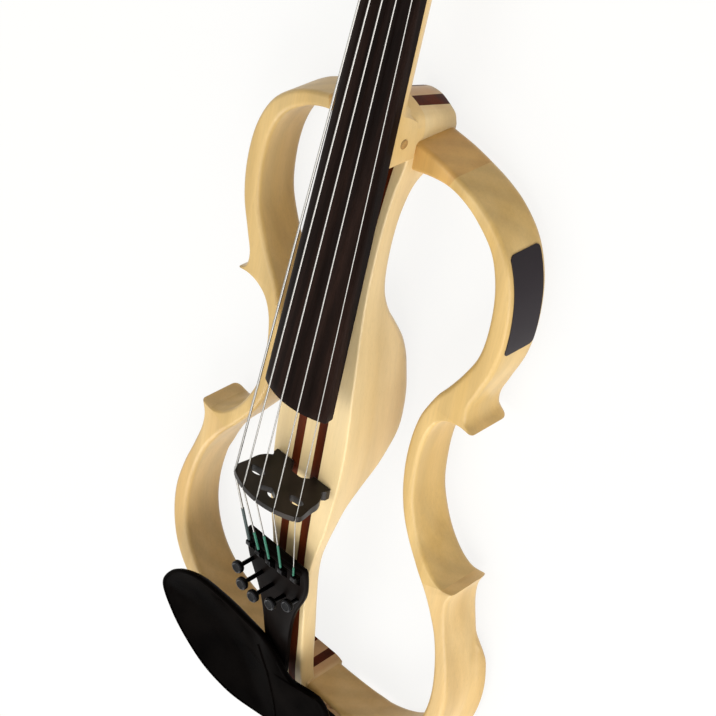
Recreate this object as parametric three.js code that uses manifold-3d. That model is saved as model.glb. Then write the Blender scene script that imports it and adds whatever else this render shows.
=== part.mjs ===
// Five-string electric violin: an open violin-shaped frame round a narrow laminated core.
// Millimetres. +X is the treble side, +Y the scroll, +Z the front. While it is drawn, y = 0 is the
// bridge and z = 0 the back of the frame; the finished group stands with the middle of its underside
// at the origin.
import * as THREE from "three";
import { mergeVertices } from "three/addons/utils/BufferGeometryUtils.js";
import Module from "manifold-3d";

const wasm = await Module();
wasm.setup();

// Driving dimensions.
const STRING_LENGTH = 327;
const STRING_COUNT = 5;
const STRING_ARC = 42; // radius of the strings' curve over the fingerboard and the bridge
const BRIDGE_SPREAD = 42.8; // first string to last at the bridge
const NUT_SPREAD = 22.4;
const TAIL_SPREAD = 32.4;
const BRIDGE_STRING_Z = 76.3; // middle string at the bridge
const NUT_STRING_Z = 43; // middle string at the nut
const FRAME_DEPTH = 27;
const UNDERSIDE_Z = -3.4; // scroll and chinrest clamp reach down to here
const CENTRE_HALF = 4.1; // centre lamination, half its thickness
const STRIPE_OUT = 9.3; // outer face of the dark stripes
const BLOCK_HALF = 15; // half width of the heel and tail blocks
const JOINT_Z = 23; // height of the neck's seat on the heel
const ROOT_Y = 188.5; // tail-side face of the neck root
const FINGERBOARD_END_Y = 54.1;
const FINGERBOARD_EDGE = 5;
const FINGERBOARD_END_HALF = 20.7;
const FINGERBOARD_NUT_HALF = 13.8;
const FINGERBOARD_END_Z = 60.5; // top edge of the playing face at its free end
const FINGERBOARD_NUT_Z = 39.7;
const GLUE_GAP = 0.25;
const TAIL_Y = -160.4;
const PLAY = 0.06; // running clearance of turning pieces

const { PI, sin, cos, sqrt, hypot, min, max, abs } = Math;
const lerp = THREE.MathUtils.lerp;
const strings = Array.from({ length: STRING_COUNT }, (_, i) => i);
const fraction = (i) => i / (STRING_COUNT - 1) - 0.5; // -0.5 bass to 0.5 treble

// Materials.
const finish = (color, roughness, metalness = 0) =>
  new THREE.MeshStandardMaterial({ color, roughness, metalness });
const maple = finish(0xe3c58c, 0.45);
const mahogany = finish(0x5a2412, 0.5);
const ebony = finish(0x17110f, 0.45);
const blackPlastic = finish(0x101011, 0.35);
const steel = finish(0xb9bcc0, 0.3, 1);
const blackMetal = finish(0x1c1c1e, 0.35, 1);
const stringSteel = finish(0xc9cbcc, 0.25, 1);
const cork = finish(0xa9835a, 0.9);
const gutCord = finish(0x222222, 0.6);
const circuitGreen = finish(0x1d5a34, 0.5);

const violin = new THREE.Group();

// A closed mesh as a solid that can be cut and joined.
function solid(geometry) {
  const bare = geometry.clone();
  Object.keys(bare.attributes)
    .filter((name) => name !== "position")
    .forEach((name) => bare.deleteAttribute(name));
  const merged = mergeVertices(bare, 1e-4);
  return new wasm.Manifold(
    new wasm.Mesh({
      numProp: 3,
      vertProperties: merged.attributes.position.array,
      triVerts: new Uint32Array(merged.index.array),
    }),
  );
}

function geometryOf(shape) {
  if (shape.isBufferGeometry) return shape;
  const mesh = shape.getMesh();
  const geometry = new THREE.BufferGeometry();
  geometry.setAttribute("position", new THREE.BufferAttribute(mesh.vertProperties, 3));
  geometry.setIndex(new THREE.BufferAttribute(mesh.triVerts, 1));
  return geometry;
}

function piece(name, shape, material, parent = violin) {
  const mesh = new THREE.Mesh(geometryOf(shape), material);
  mesh.name = name;
  parent.add(mesh);
  return mesh;
}

const union = (first, ...rest) => rest.reduce((sum, next) => sum.add(next), first);

// Twice the signed area of a ring seen along one axis, with the axis left out.
function flatArea(ring, a, b) {
  return ring.reduce((sum, p, i) => {
    const q = ring[(i + 1) % ring.length];
    return sum + p[a] * q[b] - q[a] * p[b];
  }, 0);
}

// Triangles that close a ring, turned the way that the ring runs.
function capFaces(ring) {
  const views = [["y", "z"], ["z", "x"], ["x", "y"]];
  const areas = views.map(([a, b]) => flatArea(ring, a, b));
  const widest = areas.reduce((best, area, i) => (abs(area) > abs(areas[best]) ? i : best), 0);
  const [a, b] = views[widest];
  const flat = ring.map((p) => new THREE.Vector2(p[a], p[b]));
  return THREE.ShapeUtils.triangulateShape(flat, []).map(([i, j, k]) => {
    const turn = flatArea([ring[i], ring[j], ring[k]], a, b);
    return turn * areas[widest] < 0 ? [i, k, j] : [i, j, k];
  });
}

// A closed skin through a row of rings that all have the same number of points.
function loft(rings) {
  const count = rings[0].length;
  const points = rings.flat();
  const faces = [];
  for (let r = 0; r < rings.length - 1; r++)
    for (let i = 0; i < count; i++) {
      const a = r * count + i;
      const b = r * count + ((i + 1) % count);
      faces.push([a, b, b + count], [a, b + count, a + count]);
    }
  const last = (rings.length - 1) * count;
  capFaces(rings[0]).forEach(([i, j, k]) => faces.push([i, k, j]));
  capFaces(rings[rings.length - 1]).forEach((face) => faces.push(face.map((i) => i + last)));
  const volume = faces.reduce((sum, [i, j, k]) => {
    return sum + points[i].dot(new THREE.Vector3().crossVectors(points[j], points[k]));
  }, 0);
  if (volume < 0) faces.forEach((face) => face.reverse());
  const geometry = new THREE.BufferGeometry().setFromPoints(points);
  geometry.setIndex(faces.flat());
  return geometry;
}

const at = (x, y, z) => new THREE.Vector3(x, y, z);
const across = (y, outline) => outline.map(([x, z]) => at(x, y, z)); // ring square to Y
const level = (z, outline) => outline.map(([x, y]) => at(x, y, z)); // ring square to Z

function box(x0, x1, y0, y1, z0, z1) {
  const geometry = new THREE.BoxGeometry(x1 - x0, y1 - y0, z1 - z0);
  return geometry.translate((x0 + x1) / 2, (y0 + y1) / 2, (z0 + z1) / 2);
}

// A turned piece: rows of [radius, distance along the axis], first and last on the axis.
function turned(profile, sides) {
  const rising = profile[0][1] < profile[profile.length - 1][1] ? profile : profile.slice().reverse();
  return new THREE.LatheGeometry(rising.map(([r, h]) => new THREE.Vector2(r, h)), sides);
}

// A round bar or bore along X, Y or Z from one value to the other.
function rod(axis, from, to, radius, sides, centre = [0, 0]) {
  const geometry = new THREE.CylinderGeometry(radius, radius, to - from, sides);
  const middle = (from + to) / 2;
  const [u, v] = centre;
  if (axis === "x") return geometry.rotateZ(-PI / 2).translate(middle, u, v);
  if (axis === "y") return geometry.translate(u, middle, v);
  return geometry.rotateX(PI / 2).translate(u, v, middle);
}

// A tube through points, with its sections square to the path.
function tube(path, radius, sides) {
  let side = at(1, 0, 0);
  const rings = path.map((p, i) => {
    const before = path[max(i - 1, 0)];
    const after = path[min(i + 1, path.length - 1)];
    const along = after.clone().sub(before).normalize();
    side = side.clone().addScaledVector(along, -side.dot(along)).normalize();
    const up = new THREE.Vector3().crossVectors(along, side);
    return Array.from({ length: sides }, (_, k) => {
      const turn = (2 * PI * k) / sides;
      return p.clone().addScaledVector(side, radius * cos(turn)).addScaledVector(up, radius * sin(turn));
    });
  });
  return loft(rings);
}

// Drop of a curve of this radius at a distance from its crown.
const sag = (x, radius = STRING_ARC) => radius - sqrt(radius * radius - x * x);

// Laminated core. Rows: y, half width, height of the flat deck, underside, radius of the lower edges.
const CORE = [
  [-153.6, 14.6, 30.2, 19.5, 2.5],
  [-138, 13.3, 33, 21.5, 3],
  [-112, 12.7, 35.8, 24.6, 3],
  [-84, 12.6, 39.6, 28.8, 3],
  [-66, 13, 41.4, 31.5, 3],
  [-50, 15.2, 42.6, 34, 3.5],
  [-38, 17.6, 43.4, 34.6, 3.5],
  [-26, 19.7, 43.8, 33, 4],
  [-14, 21, 44, 29, 4.5],
  [-4, 21.8, 44, 21.5, 5],
  [6, 22.4, 44, 12.5, 5.5],
  [15, 22.7, 44, 6.5, 6],
  [24, 22.8, 44, 2.2, 6],
  [34, 22.5, 44, 0.7, 6],
  [48, 21.6, 43.9, 0.7, 6],
  [60, 20.3, 43.6, 2.1, 6],
  [70, 19.2, 42.9, 3.8, 6],
  [80, 17.8, 42, 7.4, 5.5],
  [90, 16.2, 41, 13.2, 5],
  [100, 14.9, 39.9, 19.8, 4],
  [112, 13.8, 38.9, 24.4, 3.5],
  [126, 13.4, 38.2, 26, 3.5],
  [145, 13.4, 37.2, 25.6, 3.5],
  [160, 13.6, 35.6, 23, 3.5],
  [172, 14.1, 33.9, 17.5, 3.5],
  [181, BLOCK_HALF, 32.4, 6, 3],
  [ROOT_Y, BLOCK_HALF, 31, 0, 3],
];
// Plan of the heel block's rounded scroll end, at the back and at the neck's seat.
const HEEL_PLAN_BACK = [[STRIPE_OUT, 203], [13.2, 200.6], [BLOCK_HALF, 196]];
const HEEL_PLAN_SEAT = [[STRIPE_OUT, 209.6], [13.4, 206.6], [BLOCK_HALF, 201.5]];
const HEEL_CROWN_BACK = 206.4;
const HEEL_CROWN_SEAT = 212.4;
const HEEL_START_Y = 184;
const TAIL_BLOCK_INNER_Y = -149;

function outerLamination(side) {
  const rings = CORE.map(([y, half, deck, under, radius]) => {
    const outline = [
      [STRIPE_OUT, deck], [half - 0.7, deck], [half, deck - 0.7],
      [half, under + radius], [half - 0.3 * radius, under + 0.3 * radius], [half - radius, under],
      [STRIPE_OUT, under],
    ];
    return across(y, outline.map(([x, z]) => [side * x, z]));
  });
  const heelPlan = (plan) => [[STRIPE_OUT, HEEL_START_Y], ...plan, [BLOCK_HALF, HEEL_START_Y]]
    .map(([x, y]) => [side * x, y]);
  const heel = loft([level(0, heelPlan(HEEL_PLAN_BACK)), level(JOINT_Z, heelPlan(HEEL_PLAN_SEAT))]);
  const x = [side * STRIPE_OUT, side * BLOCK_HALF].sort((a, b) => a - b);
  const tail = box(...x, TAIL_Y, TAIL_BLOCK_INNER_Y, 0, FRAME_DEPTH);
  return union(solid(loft(rings)), solid(heel), solid(tail));
}

function innerLamination(x0, x1) {
  const rings = CORE.map(([y, , deck, under]) =>
    across(y, [[x0, deck], [x1, deck], [x1, under], [x0, under]]));
  const heelEnd = (x, crown, plan) => (abs(x) > CENTRE_HALF ? plan[0][1] : crown);
  const heelPlan = (crown, plan) => [
    [x0, HEEL_START_Y],
    [x0, heelEnd(x0, crown, plan)],
    [x1, heelEnd(x1, crown, plan)],
    [x1, HEEL_START_Y],
  ];
  const heel = loft([
    level(0, heelPlan(HEEL_CROWN_BACK, HEEL_PLAN_BACK)),
    level(JOINT_Z, heelPlan(HEEL_CROWN_SEAT, HEEL_PLAN_SEAT)),
  ]);
  const tail = box(x0, x1, TAIL_Y, TAIL_BLOCK_INNER_Y, 0, FRAME_DEPTH);
  return union(solid(loft(rings)), solid(heel), solid(tail));
}

// Hole for the end pin and the space for the controls behind their plate on the bass side.
const PIN_Z = 13.5;
const PIN_HOLE_R = 3.9;
const PIN_HOLE_DEPTH = 9.4;
const pinHole = solid(rod("y", TAIL_Y - 1, TAIL_Y + PIN_HOLE_DEPTH, PIN_HOLE_R, 12, [0, PIN_Z]));
const PLATE = { y0: 14, y1: 56, z0: 14, z1: 38, floor: -18.6, thick: 2 };
const POCKET = { y0: 17.5, y1: 52.5, z0: 17.5, z1: 34.5 };
const plateSeat = solid(box(-30, PLATE.floor, PLATE.y0, PLATE.y1, PLATE.z0, PLATE.z1));
const pocket = solid(box(-30, CENTRE_HALF, POCKET.y0, POCKET.y1, POCKET.z0, POCKET.z1));

piece("bass_core", outerLamination(-1).subtract(plateSeat).subtract(pocket), maple);
piece("bass_stripe", innerLamination(-STRIPE_OUT, -CENTRE_HALF).subtract(pocket).subtract(pinHole), mahogany);
piece("centre_core", innerLamination(-CENTRE_HALF, CENTRE_HALF).subtract(pocket).subtract(pinHole), maple);
piece("treble_stripe", innerLamination(CENTRE_HALF, STRIPE_OUT).subtract(pinHole), mahogany);
piece("treble_core", outerLamination(1), maple);

// Frame plan on the treble side, from the heel round to the tail: outer x, y and inner x, y in step.
const FRAME_PLAN = [
  [BLOCK_HALF, 195.4, BLOCK_HALF, 180],
  [28, 193.6, 26.5, 182.6],
  [39.5, 190.8, 36, 183.2],
  [51, 187, 45.5, 180.8],
  [61.5, 181.5, 54.5, 175.8],
  [73, 170.6, 65, 166],
  [80.8, 153.5, 71, 151.5],
  [83.8, 131, 73.2, 132.5],
  [82.2, 111, 71.6, 113],
  [77, 94.2, 65.5, 97.8],
  [73.4, 82, 58.8, 85.5],
  [74.4, 74.6, 55, 79.5],
  [78.8, 70.8, 53.2, 76],
  [73.6, 71.6, 51.8, 72.8],
  [66.5, 70.4, 49.8, 68],
  [59.8, 65.8, 47.8, 62.5],
  [55.4, 57.5, 46, 54],
  [53.2, 44, 44.8, 42],
  [53.1, 30, 45, 28],
  [55, 13, 47, 13.5],
  [59.6, 0.4, 51, 0.4],
  [66, -11, 56.6, -10.6],
  [73.2, -19, 62.6, -19.8],
  [79, -23, 66.4, -25.4],
  [84, -24.2, 69.8, -29.8],
  [90.5, -22.6, 73, -34.2],
  [88.3, -29.5, 75.4, -37.8],
  [88.6, -39, 79.3, -44.6],
  [92.6, -54.5, 84.3, -55],
  [98.2, -73, 88.9, -72],
  [101.6, -92, 91.2, -92],
  [100.4, -112, 89.5, -110],
  [94.8, -130, 83.5, -125.5],
  [84, -144.5, 74, -137],
  [68, -153.2, 60.5, -145],
  [46, -158.2, 42.5, -150],
  [26, -160, 25.5, -151],
  [BLOCK_HALF, TAIL_Y, BLOCK_HALF, -150.6],
];
const SCARF_ROW = 2;
const UPPER_CORNER_ROW = 12;
const SEAM_ROW = 24;
const LOWER_CORNER_ROW = 25;
const LAST_ROW = FRAME_PLAN.length - 1;
const LONG_STEP = 14; // plan rows further apart than this get a point between them
const EDGE = { frontOuter: 2.4, frontInner: 3, backInner: 4.4, backOuter: 5, lipOuter: 1.3 };
// Lip round the back of the lower bouts, for a shoulder rest's feet.
const LIP = { reach: 4.4, height: 3.4, startY: -60, fullY: -76, endX: 50, fullX: 78 };

const planCurve = (rows, column) => new THREE.CatmullRomCurve3(
  rows.map((row) => at(row[column], row[column + 1], 0)), false, "centripetal");
const outerBreaks = [0, UPPER_CORNER_ROW, LOWER_CORNER_ROW, LAST_ROW];
const outerCurves = outerBreaks.slice(1).map((end, k) => ({
  start: outerBreaks[k],
  end,
  curve: planCurve(FRAME_PLAN.slice(outerBreaks[k], end + 1), 0),
}));
const innerCurve = planCurve(FRAME_PLAN, 2);

function framePoint(row) {
  const { start, end, curve } = outerCurves.find((part) => row <= part.end);
  return {
    outer: curve.getPoint((row - start) / (end - start)),
    inner: innerCurve.getPoint(row / LAST_ROW),
  };
}

// How far the lip has grown at a point of the outer outline, 0 to 1.
function lipShare({ x, y }) {
  if (y > LIP.startY) return 0;
  const rise = THREE.MathUtils.smoothstep(-y, -LIP.startY, -LIP.fullY);
  return rise * THREE.MathUtils.smoothstep(x, LIP.endX, LIP.fullX);
}

// Rounded section of the frame: distance in from the outer face, height.
function frameSection(thick, share) {
  const { frontOuter: fo, frontInner: fi } = EDGE;
  const bo = lerp(EDGE.backOuter, EDGE.lipOuter, share);
  const bi = min(EDGE.backInner, thick - bo - 1.2);
  const lip = LIP.reach * share;
  const soft = 0.3; // where a rounded edge's middle point lies, as a share of its radius
  const top = FRAME_DEPTH;
  return [
    [bo - lip, 0], [soft * bo - lip, soft * bo], [-lip, bo], [0, max(bo, LIP.height) + 1 + lip],
    [0, top - fo], [soft * fo, top - soft * fo], [fo, top],
    [thick - fi, top], [thick - soft * fi, top - soft * fi], [thick, top - fi],
    [thick, bi], [thick - soft * bi, soft * bi], [thick - bi, 0],
  ];
}

function framePiece(from, to, side) {
  const rows = [];
  for (let row = from; row < to; row++) {
    const [here, next] = [framePoint(row), framePoint(row + 1)];
    rows.push(row);
    if (here.outer.distanceTo(next.outer) > LONG_STEP) rows.push(row + 0.5);
  }
  rows.push(to);
  return loft(rows.map((row) => {
    const { outer, inner } = framePoint(row);
    const inward = inner.clone().sub(outer);
    const thick = inward.length();
    inward.normalize();
    return frameSection(thick, lipShare(outer)).map(([s, z]) =>
      at(side * (outer.x + inward.x * s), outer.y + inward.y * s, z));
  }));
}

for (const [side, name] of [[-1, "bass"], [1, "treble"]]) {
  piece(name + "_shoulder", framePiece(0, SCARF_ROW, side), maple);
  piece(name + "_upper_frame", framePiece(SCARF_ROW, SEAM_ROW, side), maple);
  piece(name + "_lower_frame", framePiece(SEAM_ROW, LAST_ROW, side), maple);
}

// Fingerboard: a long curved board, hollowed under its free end.
const boardShare = (y) => (y - FINGERBOARD_END_Y) / (STRING_LENGTH - FINGERBOARD_END_Y);
const boardHalf = (y) => lerp(FINGERBOARD_END_HALF, FINGERBOARD_NUT_HALF, boardShare(y));
const boardEdgeZ = (y) => lerp(FINGERBOARD_END_Z, FINGERBOARD_NUT_Z, boardShare(y));
const boardUnderZ = (y) => boardEdgeZ(y) - FINGERBOARD_EDGE;
const boardTopZ = (x, y) => boardEdgeZ(y) + sag(boardHalf(y)) - sag(x);
const BOARD_STEPS = 10; // points across the playing face
const SCOOP_DEPTH = 3.2;

function boardRing(y, scoop) {
  const half = boardHalf(y);
  const face = Array.from({ length: BOARD_STEPS + 1 }, (_, i) => {
    const x = lerp(-half, half, i / BOARD_STEPS);
    return [x, boardTopZ(x, y)];
  });
  const under = boardUnderZ(y);
  const hollow = [[half - 2.2, under], [half * 0.55, under + scoop * 0.8], [0, under + scoop]];
  const back = [...hollow, ...hollow.slice(0, 2).reverse().map(([x, z]) => [-x, z])];
  return across(y, [...face, [half - 0.4, under], ...back, [0.4 - half, under]]);
}
piece("fingerboard", loft([
  boardRing(FINGERBOARD_END_Y, SCOOP_DEPTH),
  boardRing(110, SCOOP_DEPTH),
  boardRing(160, SCOOP_DEPTH * 0.7),
  boardRing(ROOT_Y - 3, 0.4),
  boardRing(STRING_LENGTH, 0.2),
]), ebony);

// Neck: root block on the heel, rounded shaft, pegbox and scroll in one piece of maple.
const NECK_SHAFT_Y = 214;
const NECK_END_Y = 330;
const NECK_DEPTH_HEEL = 14.4;
const NECK_DEPTH_NUT = 12.8;
const ROOT_HALF = 16.2;
const ROOT_LOWER_HALF = 14.8;
const rootNarrowing = (y) => 0.0045 * (y - ROOT_Y) ** 2;
const DOWEL = { y: 198, z: 36.6, radius: 2.3 };
const neckTopZ = (y) => boardUnderZ(min(y, STRING_LENGTH)) - GLUE_GAP;

function neckRing(y, blend) {
  const top = neckTopZ(y);
  const share = (y - ROOT_Y) / (STRING_LENGTH - ROOT_Y);
  const depth = lerp(NECK_DEPTH_HEEL, NECK_DEPTH_NUT, share);
  const half = boardHalf(y) - lerp(2.1, 0.5, share);
  const under = top - depth;
  const upper = ROOT_HALF - rootNarrowing(y);
  const lower = ROOT_LOWER_HALF - 1.5 * rootNarrowing(y);
  const root = [
    [upper, top], [upper, FRAME_DEPTH + 1.6], [lower, FRAME_DEPTH + 0.4],
    [lower, JOINT_Z + 2], [lower - 2, JOINT_Z], [0, JOINT_Z],
  ];
  const shaft = [
    [half, top], [0.98 * half, top - 0.2 * depth], [0.87 * half, top - 0.48 * depth],
    [0.67 * half, top - 0.74 * depth], [0.37 * half, top - 0.94 * depth], [0, under],
  ];
  const right = root.map(([x, z], i) => [lerp(x, shaft[i][0], blend), lerp(z, shaft[i][1], blend)]);
  const left = right.slice(0, -1).reverse().map(([x, z]) => [-x, z]);
  return across(y, [...right, ...left]);
}
const neckShaft = loft([
  neckRing(ROOT_Y, 0), neckRing(DOWEL.y, 0), neckRing(203.5, 0.06), neckRing(208, 0.3),
  neckRing(211.5, 0.72), neckRing(NECK_SHAFT_Y, 1), neckRing(236, 1), neckRing(282, 1), neckRing(316, 1),
  neckRing(NECK_END_Y, 1),
]);

// Pegs alternate: three enter from the bass side and two from the treble side.
const PEG_BORE_SIDES = 12;
const pegs = [
  { name: "peg_c", string: 0, side: -1, y: 344, lane: -5.3 },
  { name: "peg_g", string: 1, side: -1, y: 369, lane: -3.1 },
  { name: "peg_d", string: 2, side: -1, y: 394, lane: 0 },
  { name: "peg_a", string: 3, side: 1, y: 381.5, lane: 3.1 },
  { name: "peg_e", string: 4, side: 1, y: 356.5, lane: 5 },
];
const pegZ = (y) => 29 - 0.17 * (y - 344);
const PEG_R_HEAD = 3.9; // shaft radius in the near cheek
const PEG_R_TIP = 3.3; // and in the far one
const PEGBOX_PROFILE = [ // side view, y and z
  [322, 20], [322, 33.6], [332.7, 34.1], [333.2, 36.4], [340, 38.4], [352, 37.6], [372, 34.6], [392, 31],
  [401, 27.5],
  [404, 20], [404, 2], [394, 3.2], [378, 7], [360, 11.4], [342, 15.2], [330, 17.6],
];
const CHEEKS = [ // y, outer half width, inner half width
  [320, 13.6, 11.6], [338, 13.2, 10.7], [354, 12.3, 8.8], [376, 11, 7.4], [400, 9.7, 6], [406, 9.4, 5.8],
];
const FLOOR = [[333.6, 25], [345, 19.6], [372, 13.6], [392, 10.4], [399.5, 12.5]];

function sideProfile(points, halfWidth) {
  const shape = new THREE.Shape(points.map(([y, z]) => new THREE.Vector2(y, z)));
  const geometry = new THREE.ExtrudeGeometry(shape, { depth: 2 * halfWidth, bevelEnabled: false });
  // Shape x, y and depth become y, z and x.
  return geometry.applyMatrix4(new THREE.Matrix4().set(
    0, 0, 1, -halfWidth,
    1, 0, 0, 0,
    0, 1, 0, 0,
    0, 0, 0, 1,
  ));
}

const cheekPlan = (column) => loft([-20, 60].map((z) => level(z, [
  ...CHEEKS.map((row) => [row[column], row[0]]),
  ...CHEEKS.slice().reverse().map((row) => [-row[column], row[0]]),
])));
const pegboxBlock = solid(sideProfile(PEGBOX_PROFILE, 20)).intersect(solid(cheekPlan(1)));
const pegboxSpace = solid(sideProfile([...FLOOR, [399.5, 60], [333.6, 60]], 20)).intersect(solid(cheekPlan(2)));

// Scroll: a volute that winds in to its eye and grows wider as it goes.
const SCROLL = { y: 411, z: 16.15, eye: 3.6, eyeHalf: 20.5, from: -144, to: 648, step: 24 };
const scrollRadius = (degrees) => 19.4 * 0.9985 ** (degrees + 90);
const scrollHalf = (degrees) => lerp(9.6, 19, ((degrees - SCROLL.from) / (SCROLL.to - SCROLL.from)) ** 0.85);
function scrollWedge(degrees) {
  const corner = (angle, share = 1) => {
    const turn = THREE.MathUtils.degToRad(angle);
    const r = share * scrollRadius(angle);
    return [SCROLL.y + r * cos(turn), SCROLL.z + r * sin(turn)];
  };
  const middle = degrees + SCROLL.step / 2;
  const points = [
    corner(middle + 180, 0.12),
    corner(degrees - 0.5), corner(middle, 1.004), corner(degrees + SCROLL.step + 0.5),
  ];
  return solid(sideProfile(points, scrollHalf(middle)));
}
const wedges = [];
for (let a = SCROLL.from; a < SCROLL.to; a += SCROLL.step) wedges.push(scrollWedge(a));
const eye = solid(rod("x", -SCROLL.eyeHalf, SCROLL.eyeHalf, SCROLL.eye, 12, [SCROLL.y, SCROLL.z]));

const dowelHole = solid(rod("x", -20, 20, DOWEL.radius + PLAY, 12, [DOWEL.y, DOWEL.z]));
const pegBores = pegs.map(({ side, y }) => {
  const bore = (r, near) => {
    const span = near ? [0, side * 25] : [-side * 25, 0];
    const [x0, x1] = span.sort((a, b) => a - b);
    const open = (r + PLAY) / cos(PI / PEG_BORE_SIDES);
    return solid(rod("x", x0, x1, open, PEG_BORE_SIDES, [y, pegZ(y)]));
  };
  return bore(PEG_R_HEAD, true).add(bore(PEG_R_TIP, false));
});
const head = union(pegboxBlock, ...wedges, eye);
const neckSolid = union(solid(neckShaft), head).subtract(pegboxSpace);
piece("neck", [dowelHole, ...pegBores].reduce((sum, hole) => sum.subtract(hole), neckSolid), maple);
const dowelReach = ROOT_HALF - rootNarrowing(DOWEL.y) + 0.15;
piece("neck_dowel", rod("x", -dowelReach, dowelReach, DOWEL.radius, 12, [DOWEL.y, DOWEL.z]), maple);

// Nut: a slip of ebony with a notch for each string.
const NUT = { thick: 5, half: 13.3, over: 0.9 };
const nutX = (i) => NUT_SPREAD * fraction(i);
const nutStringZ = (i) => NUT_STRING_Z - sag(nutX(i));
const nutFace = Array.from({ length: 9 }, (_, i) => {
  const x = lerp(-NUT.half, NUT.half, i / 8);
  return [x, NUT_STRING_Z + NUT.over - sag(x)];
});
const nutFoot = neckTopZ(STRING_LENGTH) + GLUE_GAP;
const nutRing = (y) => across(y, [...nutFace, [NUT.half, nutFoot], [-NUT.half, nutFoot]]);
const nutBlank = solid(loft([nutRing(STRING_LENGTH + 0.2), nutRing(STRING_LENGTH + NUT.thick)]));
const stringRadii = [0.6, 0.45, 0.4, 0.35, 0.26];
const notch = (x, z, y0, y1, r) => solid(box(x - r - 0.25, x + r + 0.25, y0, y1, z - r - 0.2, z + 9));
piece("nut", strings.reduce((sum, i) => sum.subtract(
  notch(nutX(i), nutStringZ(i), STRING_LENGTH - 2, STRING_LENGTH + 9, stringRadii[i])), nutBlank), ebony);

// Bridge: a black pickup bridge with three windows, thicker at its feet than at its top.
const BRIDGE_FOOT_Z = 44.6;
const BRIDGE_TOP_THICK = 3.4;
const BRIDGE_FOOT_THICK = 6;
const BRIDGE_HALF = [ // right half of the outline from the crown down to the arch, x and z
  [11.5, 75.8], [21.5, 71.4], [22.9, 69.2], [21.9, 61], [21.2, 55], [18.9, 51], [17.2, 49.2],
  [18.6, 47.2], [18.6, BRIDGE_FOOT_Z], [7, BRIDGE_FOOT_Z], [6.6, 47], [3.6, 49.8],
];
const KIDNEY = { x: 13.6, z: 63.6, halfX: 4.6, halfZ: 3.6 };
const HEART_HALF = [[0, 64.2], [4.4, 67.2], [6.4, 69.8], [6, 71.6], [4.2, 72.3], [1.9, 71.6], [0, 69.6]];
const bridgeX = (i) => BRIDGE_SPREAD * fraction(i);
const bridgeStringZ = (i) => BRIDGE_STRING_Z - sag(bridgeX(i));
function bridgeShape() {
  const right = BRIDGE_HALF.map(([x, z]) => new THREE.Vector2(x, z));
  const left = right.slice().reverse().map((p) => new THREE.Vector2(-p.x, p.y));
  const shape = new THREE.Shape([new THREE.Vector2(0, 77.2), ...right, ...left]);
  const kidneys = [-1, 1].map((side) => Array.from({ length: 12 }, (_, k) => {
    const turn = (2 * PI * k) / 12;
    const droop = 0.25 * KIDNEY.halfZ * cos(turn) ** 2;
    const x = side * KIDNEY.x + KIDNEY.halfX * cos(turn);
    return new THREE.Vector2(x, KIDNEY.z + KIDNEY.halfZ * sin(turn) - droop);
  }));
  const mirrored = HEART_HALF.slice(1, -1).reverse().map(([x, z]) => [-x, z]);
  const heart = [...HEART_HALF, ...mirrored].map(([x, z]) => new THREE.Vector2(x, z));
  shape.holes = [...kidneys, heart].map((rim) => new THREE.Path(rim));
  return shape;
}
const bridgeBlank = new THREE.ExtrudeGeometry(bridgeShape(), { depth: 1, bevelEnabled: false });
const blankAt = bridgeBlank.attributes.position;
for (let i = 0; i < blankAt.count; i++) {
  const z = blankAt.getY(i);
  const thick = lerp(BRIDGE_FOOT_THICK, BRIDGE_TOP_THICK, (z - BRIDGE_FOOT_Z) / 32);
  blankAt.setXYZ(i, blankAt.getX(i), (0.5 - blankAt.getZ(i)) * thick, z);
}
piece("bridge", strings.reduce((sum, i) => sum.subtract(
  notch(bridgeX(i), bridgeStringZ(i), -9, 9, stringRadii[i])), solid(bridgeBlank)), blackPlastic);

// Piezo pickups: one thin plate under each of the bridge's feet.
const PICKUP_Z = 44.05;
piece("bass_pickup", box(-18.4, -7.4, -2.6, 2.6, PICKUP_Z, BRIDGE_FOOT_Z), steel);
piece("treble_pickup", box(7.4, 18.4, -2.6, 2.6, PICKUP_Z, BRIDGE_FOOT_Z), steel);

// Tailpiece with built-in fine tuners. Rows: y, half width, crown over the edge.
const TAILPIECE = [
  [-45, 20.4, 2.6], [-47.5, 21.5, 2.7], [-60, 21.7, 2.6], [-68, 20.2, 2.5], [-76, 17.2, 2.3],
  [-85, 13.8, 2.1], [-97, 11, 1.9], [-115, 9.2, 1.8], [-138, 7.6, 1.6], [-146, 6.2, 1.2],
];
const TAILPIECE_SKIN = 2.2;
const TAILPIECE_WALL = 2.6;
const tailpieceEdgeZ = (y) => 55 + 0.175 * (y + 45);
const tailpieceTopZ = (x, y) => {
  const next = max(TAILPIECE.findIndex((row) => row[0] <= y), 1);
  const [a, b] = [TAILPIECE[next - 1], TAILPIECE[next]];
  const share = (y - a[0]) / (b[0] - a[0]);
  const half = lerp(a[1], b[1], share);
  return tailpieceEdgeZ(y) + lerp(a[2], b[2], share) * (1 - (x / half) ** 2);
};
const tailpieceRing = ([y, half, crown], inset, top, bottom) => {
  const edge = tailpieceEdgeZ(y);
  const w = half - inset;
  const arch = [-1, -0.66, -0.33, 0, 0.33, 0.66, 1].map((s) => [s * w, edge + crown * (1 - s * s) - top]);
  return across(y, [...arch, [w, edge - bottom], [-w, edge - bottom]]);
};
const tailpieceOuter = loft(TAILPIECE.map((row) => tailpieceRing(row, 0, 0, TAILPIECE_WALL)));
const tailpieceInner = loft([[-48.5, 18, 2.4], ...TAILPIECE.slice(2, 6)].map((row) =>
  tailpieceRing(row, 1.8, TAILPIECE_SKIN, TAILPIECE_WALL + 9)));
const tuners = strings.map((i) => ({
  x: TAIL_SPREAD * fraction(i),
  screwY: [-66, -69, -71.6, -73.6, -70.5][i],
  headZ: [61.6, 65.8, 65.4, 60.4, 57][i],
}));
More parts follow.
